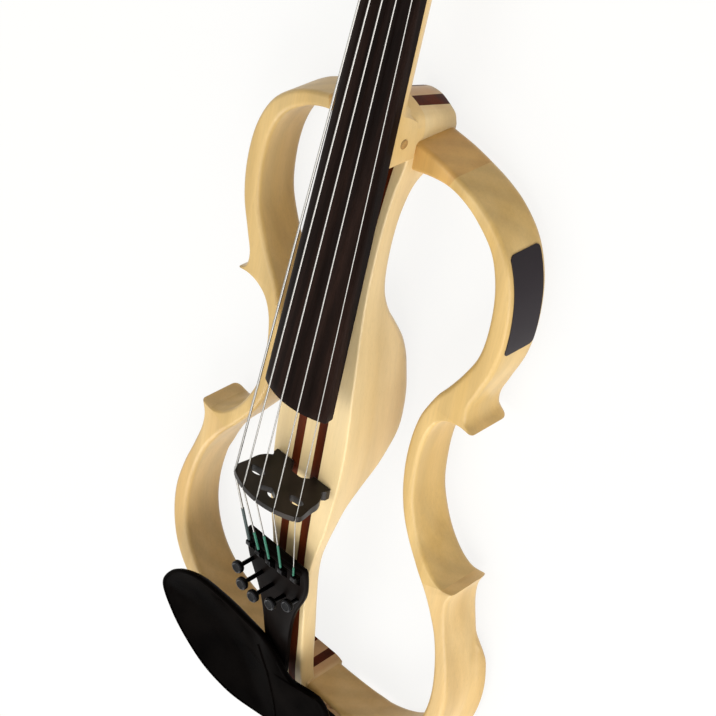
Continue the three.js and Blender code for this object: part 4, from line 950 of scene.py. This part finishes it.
def moulded(name, low, high, roughness, specular):
    """Black moulded plastic: nearly even colour, a fine mould texture and a satin face."""
    made, surface = new_finish(name, roughness, specular=specular)
    links = made.node_tree.links
    place = part_of(made, "TexCoord")
    grain = part_of(made, "TexNoise", Scale=1400.0, Detail=3.0)
    cloud = part_of(made, "TexNoise", Scale=60.0, Detail=4.0)
    for texture in (grain, cloud):
        links.new(place.outputs["Object"], texture.inputs["Vector"])
    links.new(ramp(made, cloud.outputs["Fac"], [(0.3, low), (0.7, high)]), surface.inputs["Base Color"])
    vary_roughness(made, surface, cloud, roughness - 0.05, roughness + 0.07)
    bump = part_of(made, "Bump", Strength=0.1, Distance=0.00006)
    links.new(grain.outputs["Fac"], bump.inputs["Height"])
    links.new(bump.outputs["Normal"], surface.inputs["Normal"])
    return made


bridge_black = moulded("bridge_black", (0.007, 0.006, 0.005), (0.028, 0.020, 0.015), 0.33, 0.22)
smooth(soft_edges(made_of(bridge, bridge_black), 0.5, 3), 35)
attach(bridge, "violin")
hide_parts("bridge")


def metal(name, colour, roughness):
    """Plated or blackened metal with fine brush marks."""
    made, surface = new_finish(name, roughness, metallic=1.0)
    links = made.node_tree.links
    place = part_of(made, "TexCoord")
    marks = part_of(made, "TexNoise", Scale=1800.0, Detail=4.0)
    links.new(place.outputs["Object"], marks.inputs["Vector"])
    dull = tuple(0.8 * c for c in colour)
    links.new(ramp(made, marks.outputs["Fac"], [(0.3, dull), (0.7, colour)]), surface.inputs["Base Color"])
    vary_roughness(made, surface, marks, roughness - 0.06, roughness + 0.06)
    return made


plated_steel = metal("plated_steel", (0.62, 0.62, 0.63), 0.26)
black_metal = metal("black_metal", (0.014, 0.014, 0.015), 0.3)
for node in ("bass_pickup", "treble_pickup"):
    made_of(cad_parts[node], plated_steel)

# Tailpiece: a black moulded plate, arched across and hollow below its wide head, with a raised bar
# that the strings cross and five built-in fine tuners.
TAIL_SPREAD = 32.4
TAILPIECE = [  # y, half width, crown over the edge
    (-146, 6.2, 1.2), (-138, 7.6, 1.6), (-115, 9.2, 1.8), (-97, 11, 1.9), (-85, 13.8, 2.1),
    (-76, 17.2, 2.3), (-68, 20.2, 2.5), (-60, 21.7, 2.6), (-47.5, 21.5, 2.7), (-45, 20.4, 2.6),
]
TAILPIECE_HEAD = (-45, 55)  # y and height of the edge at the head
TAILPIECE_SLOPE = 0.175
TAILPIECE_WALL = 2.6
TAILPIECE_SKIN = 2.2
TAILPIECE_ROWS = [  # y, drawn in
    (-146, 0.8), (-145.8, 0.35), (-145.2, 0), *[(y, 0) for y in np.linspace(-144, -46, 60)],
    (-45.5, 0.1), (-45.15, 0.4), (-45, 0.8),
]
EDGE_SHARE = 0.94
EDGE_SOFTNESS = 180
TAIL_BAR_HALF = 19.2
TAIL_BAR_ROWS = [(-49.2, 0.2), (-48.7, 1.3), (-47.8, 1.8), (-46.8, 1.5), (-46, 0.3)]  # y, height
TUNER_Y = [-66, -69, -71.6, -73.6, -70.5]
TUNER_HEAD_Z = [61.6, 65.8, 65.4, 60.4, 57]
LEVER_Y = -54
LEVER_HALF = 1.5
LEVER_DROP = 5.1
LEVER_PLAY = 0.5
SCREW_R = 1.2
SCREW_PLAY = 0.1
GUT_X = 2.9
GUT_HOLE_R = 1.6
GUT_HOLE_Z = 35.5


def tailpiece_edge(y):
    """Height of the tailpiece's long edges."""
    return TAILPIECE_HEAD[1] + TAILPIECE_SLOPE * (y - TAILPIECE_HEAD[0])


def tailpiece_top(x, y):
    """Height of the arched top of the tailpiece."""
    rows_y, halves, crowns = zip(*TAILPIECE)
    half, crown = np.interp(y, rows_y, halves), np.interp(y, rows_y, crowns)
    return tailpiece_edge(y) + crown * (1 - (x / half) ** 2)


def tailpiece_ring(y, inset, top, bottom, drawn_in=0.0):
    """Section of the tailpiece: arched top with softened edges, low sides and a flat underside."""
    half, crown = (eased(TAILPIECE, y, column) for column in (1, 2))
    edge = tailpiece_edge(y)
    w = half - inset - drawn_in
    shares = [*np.linspace(-1, -EDGE_SHARE, 4), *np.linspace(-0.9, 0.9, 25), *np.linspace(EDGE_SHARE, 1, 4)]
    arch = [(s * w, edge + crown * (1 - s * s) - top - drawn_in
             - EDGE_SOFTNESS * max(abs(s) - EDGE_SHARE, 0) ** 2) for s in shares]
    low = edge - bottom + drawn_in
    outline = arch + [(w, low + 0.5), (w - 0.5, low), (0.5 - w, low), (-w, low + 0.5)]
    return [(x, y, z) for x, z in outline]


def tail_bar_ring(y, height):
    """Section of the raised bar, let a little into the tailpiece's top."""
    across = np.linspace(-TAIL_BAR_HALF, TAIL_BAR_HALF, 21)
    over = [(x, y, tailpiece_top(x, y) + height) for x in across]
    return over + [(x, y, tailpiece_top(x, y) - 0.8) for x in -across]


tail_points = five_across(TAIL_SPREAD)
tailpiece = skin("tailpiece_moulded", [tailpiece_ring(y, 0, 0, TAILPIECE_WALL, drawn_in)
                                       for y, drawn_in in TAILPIECE_ROWS])
cavity = skin("cavity", [tailpiece_ring(y, 1.8, TAILPIECE_SKIN, TAILPIECE_WALL + 9)
                         for y in np.linspace(-85, -48.5, 20)])
work(tailpiece, "UNION", [skin("tail_bar", [tail_bar_ring(y, height) for y, height in TAIL_BAR_ROWS])])
cuts = [cavity] + [bar("y", -149, -139, GUT_HOLE_R, (x, GUT_HOLE_Z), 20) for x in (-GUT_X, GUT_X)]
for x, screw_y in zip(tail_points, TUNER_Y):
    slot_half = LEVER_HALF + LEVER_PLAY
    cuts.append(block((x - slot_half, -58, 40), (x + slot_half, -49.4, 70)))
    cuts.append(bar("z", 40, 70, SCREW_R + SCREW_PLAY, (x, screw_y), 24))
work(tailpiece, "DIFFERENCE", cuts)
tailpiece_black = moulded("tailpiece_black", (0.0025, 0.0018, 0.0016), (0.0065, 0.0048, 0.0042), 0.33, 0.01)
smooth(made_of(tailpiece, tailpiece_black), 28)
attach(tailpiece, "violin")
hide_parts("tailpiece")

# Fine tuners: a blackened lever under each string holds it in a fork, and a screw with a knurled
# head presses the lever's long arm down inside the tailpiece.
LEVER_ARM = 1.6
FORK = [  # y and height from the lever's pivot
    (-3.6, 0.2), (-2.2, 1.4), (-1.4, 7.3), (0.8, 8.9), (3.4, 9.1), (3.4, 7.6), (1.6, 7.1), (1.7, -0.6),
    (0.4, -1.8),
]
HEAD_R = 3.5
HEAD_PROFILE = [  # radius, height
    (0, -0.4), (2.7, -0.4), (3.1, -0.15), (HEAD_R, 0.3), (HEAD_R, 1.1), (HEAD_R, 2.1), (3.15, 2.6),
    (2.6, 2.8), (2.1, 2.5), (0, 2.4),
]
KNURLED_FROM, KNURLED_TO = 0.29, 2.11
KNURL_DEPTH = 0.16
KNURL_SIDES = 96
STEM_SUNK = 1.95


def knurled(name, rows):
    """A turned head whose rim is knurled, with two sides of every four cut deeper."""
    turns = around(KNURL_SIDES)
    rings = []
    for r, h in rows:
        depth = KNURL_DEPTH if KNURLED_FROM <= h <= KNURLED_TO else 0
        radii = [max(r, LEAST_R) - depth * (k % 4 > 1) for k in range(KNURL_SIDES)]
        rings.append([(radius * cos(t), radius * sin(t), h) for radius, t in zip(radii, turns)])
    return skin(name, rings)


for i, (x, screw_y, head_z) in enumerate(zip(tail_points, TUNER_Y, TUNER_HEAD_Z), 1):
    pivot_z = tailpiece_top(x, LEVER_Y) - LEVER_DROP
    arm = LEVER_Y - screw_y + LEVER_ARM
    lever_outline = [(LEVER_Y + y, pivot_z + z) for y, z in [(-arm, -4.4), (-arm, -2.6)] + FORK]
    lever = side_block(lever_outline, LEVER_HALF)
    lever.name = f"tuner_lever_{i}_pressed"
    lever.data.transform(Matrix.Translation((x * MM, 0, 0)))
    smooth(soft_edges(made_of(lever, black_metal), 0.3, 2), 35)
    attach(lever, f"tuner_lever_{i}_body")
    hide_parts(f"tuner_lever_{i}")
    reach = head_z - (pivot_z - STEM_SUNK)
    stem = turned("stem", [(0, -reach), (0.8, -reach), (SCREW_R, 0.8 - reach), (SCREW_R, -0.2)], 24)
    screw = join(knurled(f"tuner_screw_{i}_turned", HEAD_PROFILE), stem)
    lay(screw, (x, screw_y, head_z))
    smooth(made_of(screw, black_metal), 28)
    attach(screw, f"tuner_screw_{i}_body")
    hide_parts(f"tuner_screw_{i}")

# Saddle, end pin and tail gut: the gut runs from the tailpiece over a saddle of near-black wood,
# down round the turned end pin and back, and carries the pull of all the strings.
SADDLE_HALF = 17
SADDLE_BACK = TAIL_Y - 0.6
SADDLE_FRONT = -153.9
SADDLE_Z = 31.6
SADDLE_OUTLINE = [
    (SADDLE_FRONT, FRAME_DEPTH), (SADDLE_FRONT, SADDLE_Z - 0.8), (SADDLE_FRONT - 1.6, SADDLE_Z),
    (SADDLE_BACK + 1.8, SADDLE_Z), (SADDLE_BACK, SADDLE_Z - 1.8), (SADDLE_BACK, FRAME_DEPTH + 0.6),
    (TAIL_Y, FRAME_DEPTH),
]
END_PIN = [  # radius, distance out from the tail
    (0, -9), (2.9, -9), (3.5, 0.3), (3.3, 3.9), (4.2, 4.1), (5, 4.6), (6.1, 5.2), (6.8, 6.1), (7, 7.4),
    (6.7, 8.5), (6, 9.4), (4.9, 10.05), (3.6, 10.4), (1.4, 10.58), (0, 10.6),
]
saddle = side_block(SADDLE_OUTLINE, SADDLE_HALF)
saddle.name = "saddle_shaped"
end_pin = lay(turned("end_pin_turned", END_PIN), (0, TAIL_Y, PIN_Z), Matrix.Rotation(pi / 2, 4, "X"))
for fitting, node, timber in ((saddle, "saddle", board_wood), (end_pin, "end_pin", peg_wood)):
    smooth(soft_edges(made_of(fitting, timber), 0.5, 3, 50), 40)
    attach(fitting, "violin")
    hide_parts(node)


def tube(name, path, radius, sides=12):
    """A round length of string, gut or bead through points, with its sections square to the path."""
    points = [np.array(p, float) for p in path]
    side = np.array([1.0, 0.0, 0.0])
    rings = []
    for k, p in enumerate(points):
        along = points[min(k + 1, len(points) - 1)] - points[max(k - 1, 0)]
        along /= np.linalg.norm(along)
        side = side - along * side.dot(along)
        side /= np.linalg.norm(side)
        up = np.cross(along, side)
        rings.append([tuple(p + radius * (cos(t) * side + sin(t) * up)) for t in around(sides)])
    return skin(name, rings)


GUT_R = 1.1
GUT_Y = TAIL_Y - 2.2
GUT_HALF = [
    (GUT_X, -139.6, 35.6), (GUT_X, -147, 35.4), (3.1, -151, 33.8), (3.3, SADDLE_FRONT + 1, 33),
    (3.4, SADDLE_BACK + 2, 33), (3.7, SADDLE_BACK - 0.6, 31.9), (4.2, SADDLE_BACK - 1.7, 29.4),
    (4.7, GUT_Y, 24), (4.9, GUT_Y, PIN_Z + 2), (4.4, GUT_Y, PIN_Z - 2.2), (2.6, GUT_Y, PIN_Z - 4.2),
]
gut_path = GUT_HALF + [(0, GUT_Y, PIN_Z - 5)] + [(-x, y, z) for x, y, z in reversed(GUT_HALF)]
tail_gut = tube("tail_gut_tied", curve_through(gut_path, 0.8), GUT_R)
gut_black = moulded("gut_black", (0.014, 0.013, 0.013), (0.03, 0.028, 0.027), 0.45, 0.1)
smooth(made_of(tail_gut, gut_black), 60)
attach(tail_gut, "violin")
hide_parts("tail_gut")

# Strings: flat-wound steel, thickest at the bass side. Each is hooked in its tuner, crosses bridge
# and nut, and winds three times round its peg. Silk thread is wound over the tuner end, green on
# four of the strings and near black on the lowest.
WIND_TURNS = 3
WIND_STEPS = 24
WIND_GAP = 0.25
COIL_CLEAR = 0.35
STRING_NAMES = ["string_c", "string_g", "string_d", "string_a", "string_e"]
SILK_FROM = [-26.6, -35.6, -29.9, -29.9, -42.1]
SILK_PROUD = 0.24
BRIDGE_TOP_HALF = 1.4
HOOK_AHEAD = 4.6
HOOK_UP = 3.3
steel_wire, steel_surface = new_finish("steel_wire", 0.3, metallic=1.0)
wire_marks = part_of(steel_wire, "TexNoise", Scale=2500.0, Detail=2.0)
wire_tones = [(0.3, (0.24, 0.23, 0.215)), (0.7, (0.34, 0.33, 0.31))]
wire_colour = ramp(steel_wire, wire_marks.outputs["Fac"], wire_tones)
steel_wire.node_tree.links.new(wire_colour, steel_surface.inputs["Base Color"])


def silk(name, low, high):
    """Silk thread wound close round the string: fine rings of thread and a soft face."""
    made, surface = new_finish(name, 0.62)
    links = made.node_tree.links
    place = part_of(made, "TexCoord")
    thread = part_of(made, "TexWave", wave_type="BANDS", bands_direction="Y", Scale=700.0, Distortion=0.6)
    links.new(place.outputs["Object"], thread.inputs["Vector"])
    links.new(ramp(made, thread.outputs["Fac"], [(0.1, low), (0.8, high)]), surface.inputs["Base Color"])
    bump = part_of(made, "Bump", Strength=0.5, Distance=0.00005)
    links.new(thread.outputs["Fac"], bump.inputs["Height"])
    links.new(bump.outputs["Normal"], surface.inputs["Normal"])
    return made


green_silk = silk("green_silk", (0.003, 0.07, 0.04), (0.008, 0.15, 0.085))
dark_silk = silk("dark_silk", (0.010, 0.020, 0.018), (0.03, 0.05, 0.045))
peg_order = sorted(PEGS, key=lambda row: "cgdae".index(row[0][-1]))
for i, (_, _, peg_y, lane) in enumerate(peg_order):
    radius = STRING_RADII[i]
    coil = PEG_HEAD_R + radius + COIL_CLEAR
    pitch = 2 * radius + WIND_GAP
    lane_start = lane - WIND_TURNS * pitch / 2
    bridge_x, bridge_z = bridge_points[i], bridge_string_z(bridge_points[i])
    nut_x, nut_z = nut_points[i], nut_string_z(nut_points[i])
    hook = (tail_points[i], LEVER_Y + HOOK_AHEAD, tailpiece_top(tail_points[i], LEVER_Y) + HOOK_UP)
    at_bridge = (bridge_x * 0.995, -BRIDGE_TOP_HALF, bridge_z)
    path = [hook, at_bridge, (bridge_x, BRIDGE_TOP_HALF, bridge_z), (nut_x, STRING_LENGTH, nut_z),
            (nut_x * 0.99, STRING_LENGTH + NUT_THICK, nut_z - 0.2)]
    for k in range(WIND_TURNS * WIND_STEPS + 1):
        turn = pi / 2 - 2 * pi * k / WIND_STEPS - 0.25
        coil_x = lane_start + pitch * k / WIND_STEPS
        path.append((coil_x, peg_y + coil * cos(turn), peg_z(peg_y) + coil * sin(turn)))
    string = tube(STRING_NAMES[i] + "_wound", path, radius, 14)
    smooth(made_of(string, steel_wire), 60)
    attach(string, "violin")
    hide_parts(STRING_NAMES[i])
    share = (SILK_FROM[i] - hook[1]) / (at_bridge[1] - hook[1])
    silk_start = [a + (b - a) * share for a, b in zip(hook, at_bridge)]
    sleeve = tube(STRING_NAMES[i] + "_silk", [hook, silk_start], radius + SILK_PROUD, 16)
    smooth(made_of(sleeve, green_silk if i else dark_silk), 60)
    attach(sleeve, "violin")

# Chinrest: a moulded black cup for the jaw over the bass side. Its arm crosses above the
# tailpiece's end, and two feet on cork stand on the lower bout.
CHIN_OUTLINE = [
    (-78, -133), (-74, -122), (-66, -114.5), (-53, -109.6), (-36, -108.8), (-18, -110.5), (-2, -115),
    (8, -122.4), (18, -130.6), (30, -131.6), (42, -128), (48.5, -134), (47, -148), (38, -160), (26, -168.6),
    (6, -169.6), (-18, -169.6), (-38, -166.4), (-54, -158.6), (-68, -147.6),
]
CHIN_MIDDLE = (-30, -141)
CHIN_RIM = 50.4
CHIN_CUP_ENDS = (-22, 16)  # x where the cup starts to flatten and where the arm begins
CHIN_RISE = (-1.8, 3.4)
CHIN_DISH = 7.6
CHIN_THICK = 4.4
CHIN_LIP = 0.966
CHIN_TOP = [  # share of the way out to the rim, drop below the rim's flat
    (1, 1.05), (0.996, 0.45), (0.989, 0.12), (0.98, 0), (CHIN_LIP, 0), (0.958, 0.1), (0.94, 0), (0.9, 0),
    *[(s, 0) for s in np.linspace(0.85, 0.05, 17)],
]
CHIN_UNDER = [
    (1, 1.7), (0.985, 3), (0.95, 4.1), (0.9, CHIN_THICK), (0.74, CHIN_THICK), (0.5, CHIN_THICK),
    (0.1, CHIN_THICK),
]
CHIN_FOOT_X = (22, 42)
CHIN_FOOT_Y = (-157, -152.6)
CHIN_FOOT_ROWS = [(29.4, 0), (33, 0.6), (38, 1.2)]  # height, grown all round
CHIN_FOOT_TOP = {-1: 43.6, 1: 46.4}
CHIN_FOOT_SPREAD = 2.4
CHIN_BOSS_R = 4
CHIN_SEAM = [
    (-6.2, -124.5), (-4.2, -127.7), (0, -133.4), (5.2, -140.5), (9.7, -148.3), (12.6, -155), (14.5, -161.4),
    (15.2, -166),
]
CHIN_SEAM_R = 0.6
STUD_X = 22
STUD_Y = -165.4
STUD_R = 1.6
chin_curve = curve_through(CHIN_OUTLINE, 1.6, closed=True)


def chin_point(rim_x, rim_y, share, drop, under):
    """A point of the cup at a share of the way from its middle to a point of the rim."""
    x = CHIN_MIDDLE[0] + share * (rim_x - CHIN_MIDDLE[0])
    y = CHIN_MIDDLE[1] + share * (rim_y - CHIN_MIDDLE[1])
    cup = 1 - ease(x, *CHIN_CUP_ENDS)
    hollow = 0 if share >= CHIN_LIP and not under else CHIN_DISH * cup * (1 - share**2.4)
    z = CHIN_RIM + (CHIN_RISE[0] + CHIN_RISE[1] * cup) * share - hollow - drop
    return x, y, z


def chin_ring(share, drop, under):
    """A ring of the cup, on its top or on its underside."""
    return [chin_point(x, y, share, drop, under) for x, y in chin_curve]


chinrest = skin("chinrest_moulded", [chin_ring(share, drop, False) for share, drop in reversed(CHIN_TOP)]
                + [chin_ring(share, drop, True) for share, drop in CHIN_UNDER])
chin_feet = []
stud_bores = []
for side, _ in SIDES:
    rings = []
    for z, grow in (*CHIN_FOOT_ROWS, (CHIN_FOOT_TOP[side], CHIN_FOOT_SPREAD)):
        (x0, x1), (y0, y1) = ((near - grow, far + grow) for near, far in (CHIN_FOOT_X, CHIN_FOOT_Y))
        rings.append([(side * x, y, z) for x, y in ((x0, y0), (x1, y0), (x1, y1), (x0, y1))])
    chin_feet += [skin("foot", rings), bar("z", 38, 46, CHIN_BOSS_R, (side * STUD_X, STUD_Y))]
    stud_bores.append(bar("z", 30, 44.6, STUD_R + 0.1, (side * STUD_X, STUD_Y)))
work(chinrest, "UNION", chin_feet)
work(chinrest, "DIFFERENCE", stud_bores)
chin_skin = BVHTree.FromObject(chinrest, bpy.context.evaluated_depsgraph_get())
seam_path = []
for x, y in curve_through(CHIN_SEAM, 1.2):
    on_top = chin_skin.ray_cast(spot(x, y, 70), Vector((0, 0, -1)))[0]
    seam_path.append((x, y, (on_top.z - BACK_Z) / MM + 0.1))
chin_seam = tube("chinrest_cup_rim", seam_path, CHIN_SEAM_R)
chin_black = moulded("chin_black", (0.0010, 0.0007, 0.0006), (0.0034, 0.0026, 0.0022), 0.3, 0.006)
for moulding, angle in ((chinrest, 30), (chin_seam, 60)):
    smooth(made_of(moulding, chin_black), angle)
    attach(moulding, "violin")
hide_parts("chinrest")

# Chinrest clamp: two cork pads under the feet, and a steel foot plate lined with cork under the
# frame. Two slim turnbuckle barrels with key holes draw the threaded studs together.
BARREL_R = 3.3
BARREL_Z = (4, 24)
KEY_HOLE_R = 0.9
KEY_HOLE_Z = (11, 17)
STUD_Z = (19, 44.4)
LOWER_STUD_Z = (-2.9, 9)
THREAD_STEP = 0.3
THREAD_DEPTH = 0.22
FOOT_PLATE = ((-26, -169, -3.4), (26, -157.4, -1.8))


def threaded(name, start, end, x):
    """A threaded stud standing along Z."""
    core_r = STUD_R - THREAD_STEP
    rows = [(0, start), (core_r, start)]
    rows += [(STUD_R - (THREAD_DEPTH if k % 2 else 0), z)
             for k, z in enumerate(np.arange(start + THREAD_STEP, end - THREAD_STEP, THREAD_STEP))]
    return lay(turned(name, rows + [(core_r, end), (0, end)], 24), (x, STUD_Y, 0))


cork, cork_surface = new_finish("cork", 0.85)
cork_place = part_of(cork, "TexCoord")
cork_cells = part_of(cork, "TexVoronoi", Scale=900.0)
cork_cloud = part_of(cork, "TexNoise", Scale=350.0, Detail=5.0)
cork_bump = part_of(cork, "Bump", Strength=0.4, Distance=0.0002)
cork_tones = [(0.3, (0.20, 0.10, 0.045)), (0.5, (0.42, 0.26, 0.13)), (0.75, (0.52, 0.34, 0.18))]
cork_colour = ramp(cork, cork_cloud.outputs["Fac"], cork_tones)
for output, socket in ((cork_place.outputs["Object"], cork_cells.inputs["Vector"]),
                       (cork_place.outputs["Object"], cork_cloud.inputs["Vector"]),
                       (cork_colour, cork_surface.inputs["Base Color"]),
                       (cork_cells.outputs["Distance"], cork_bump.inputs["Height"]),
                       (cork_bump.outputs["Normal"], cork_surface.inputs["Normal"])):
    cork.node_tree.links.new(output, socket)
for side, name in SIDES:
    x = side * STUD_X
    barrel = bar("z", *BARREL_Z, BARREL_R, (x, STUD_Y), 64)
    barrel.name = f"clamp_barrel_{name}_turned"
    key_holes = [lay(bar("x", -9, 9, KEY_HOLE_R, (0, 0), 24), (x, STUD_Y, z)) for z in KEY_HOLE_Z]
    work(barrel, "DIFFERENCE", [bar("z", 3, 25, STUD_R + 0.12, (x, STUD_Y), 32), *key_holes])
    smooth(soft_edges(made_of(barrel, plated_steel), 0.35, 3), 35)
    stud = threaded(f"chinrest_stud_{name}_threaded", *STUD_Z, x)
    smooth(made_of(stud, plated_steel), 30)
    for steel_piece, node, body in ((barrel, "clamp_barrel_", "clamp_barrel_" + name + "_body"),
                                    (stud, "chinrest_stud_", "violin")):
        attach(steel_piece, body)
        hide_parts(node + name)
foot_plate = soft_edges(block(*FOOT_PLATE), 0.4, 2)
foot_plate.name = "clamp_foot_plate"
lower_studs = [threaded("clamp_lower_stud_" + name, *LOWER_STUD_Z, side * STUD_X) for side, name in SIDES]
for steel_piece in (foot_plate, *lower_studs):
    smooth(made_of(steel_piece, plated_steel), 30)
    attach(steel_piece, "violin")
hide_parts("clamp_foot")

# Controls in the bass side of the core: a thin black plate on four screws, a fluted volume knob
# on its potentiometer, the output jack and the small circuit board behind the plate.
PLATE_BACK = -18.6
PLATE_OUT = -20.6
PLATE_SCREWS = [(16.6, 16.6), (53.4, 16.6), (53.4, 35.4), (16.6, 35.4)]  # y, z
KNOB = (44.3, 26)
KNOB_BORE_R = 3.2
KNOB_ROWS = [  # how far it stands out, radius, depth of the flutes
    (0, 7.2, 0), (-0.3, 7.6, 0), (-1.4, 7.6, 0), (-1.8, 7.3, 0.1), (-2.2, 7, 0.6), (-5.8, 6.8, 0.6),
    (-9.2, 6.6, 0.6), (-9.9, 6.3, 0.5), (-10.3, 5.9, 0.3), (-10.4, 5.2, 0.1), (-10.4, 0.05, 0),
]
KNOB_FLUTES = 4
KNOB_SIDES = 96
SCREW_HOLE_R = 1.3
POT_R = 7.4
JACK = (26, 26)
JACK_HOLE_R = 5.8
JACK_R = 5.6
JACK_FLANGE_R = 7
JACK_BORE_R = 3.3
SCREW_PROFILE = [  # radius, height
    (0, 0.3), (1.1, 0.3), (1.1, 2.3), (2.2, 2.4), (2.15, 2.7), (1.7, 3.3), (0.9, 3.48), (0, 3.5),
]
control_plate = block((PLATE_OUT, 14.3, 14.3), (PLATE_BACK, 55.7, 37.7))
control_plate.name = "control_plate_cut"
plate_cuts = [bar("x", -30, 0, KNOB_BORE_R, KNOB), bar("x", -30, 0, JACK_HOLE_R, JACK)]
plate_cuts += [bar("x", -30, 0, SCREW_HOLE_R, place, 24) for place in PLATE_SCREWS]
work(control_plate, "DIFFERENCE", plate_cuts)
plate_black = moulded("plate_black", (0.007, 0.007, 0.007), (0.013, 0.012, 0.012), 0.42, 0.1)
knob_rings = []
for out, radius, flute in KNOB_ROWS:
    radii = [radius - flute * max(0, cos(KNOB_FLUTES * t)) ** 2 for t in around(KNOB_SIDES)]
    knob_rings.append([(out, r * cos(t), r * sin(t)) for r, t in zip(radii, around(KNOB_SIDES))])
knob = join(skin("volume_knob_moulded", knob_rings), bar("x", -1, 8, 2.8, (0, 0), 32))
lay(knob, (PLATE_OUT - 0.7, *KNOB))
soft_edges(control_plate, 0.3, 2)
for made, node, body in ((control_plate, "control_plate", "violin"),
                         (knob, "volume_knob", "volume_knob_body")):
    smooth(made_of(made, plate_black))
    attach(made, body)
    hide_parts(node)
for i, (y, z) in enumerate(PLATE_SCREWS, 1):
    screw = turned(f"plate_screw_{i}_turned", SCREW_PROFILE)
    recess = [block((-1.2, -0.22, 2.9), (1.2, 0.22, 4)), block((-0.22, -1.2, 2.9), (0.22, 1.2, 4))]
    work(screw, "DIFFERENCE", recess)
    lay(screw, (PLATE_BACK, y, z), Matrix.Rotation(-pi / 2, 4, "Y"))
    smooth(made_of(screw, black_metal))
    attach(screw, "violin")
    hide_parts(f"plate_screw_{i}")
pot = lay(bar("x", 0.1, 8, POT_R, (0, 0), 64), (PLATE_BACK, *KNOB))
pot.name = "volume_pot_pressed"
work(pot, "DIFFERENCE", [lay(bar("x", -1, 6, 2.9, (0, 0), 32), (PLATE_BACK, *KNOB))])
jack = lay(bar("x", -22.6, 2.6, JACK_R, (0, 0), 64), (0, *JACK))
jack.name = "output_jack_turned"
work(jack, "UNION", [lay(bar("x", -23.2, -20.7, JACK_FLANGE_R, (0, 0), 64), (0, *JACK))])
work(jack, "DIFFERENCE", [lay(bar("x", -24.2, 1, JACK_BORE_R, (0, 0), 48), (0, *JACK))])
for made, node in ((pot, "volume_pot"), (jack, "output_jack")):
    smooth(soft_edges(made_of(made, plated_steel), 0.4, 2))
    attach(made, "violin")
    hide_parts(node)
board_green, green_surface = new_finish("board_green", 0.35, coat=0.4)
board_place = part_of(board_green, "TexCoord")
board_lines = part_of(board_green, "TexBrick", Scale=420.0)
green_tones = [(0.0, (0.01, 0.10, 0.04)), (1.0, (0.06, 0.26, 0.12))]
board_green.node_tree.links.new(board_place.outputs["Object"], board_lines.inputs["Vector"])
board_green.node_tree.links.new(ramp(board_green, board_lines.outputs["Fac"], green_tones),
                                green_surface.inputs["Base Color"])
for node, made in (("circuit_board", board_green), ("chinrest_cork_bass", cork),
                   ("chinrest_cork_treble", cork), ("clamp_foot_cork", cork)):
    soft_edges(made_of(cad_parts[node], made), 0.3, 2)
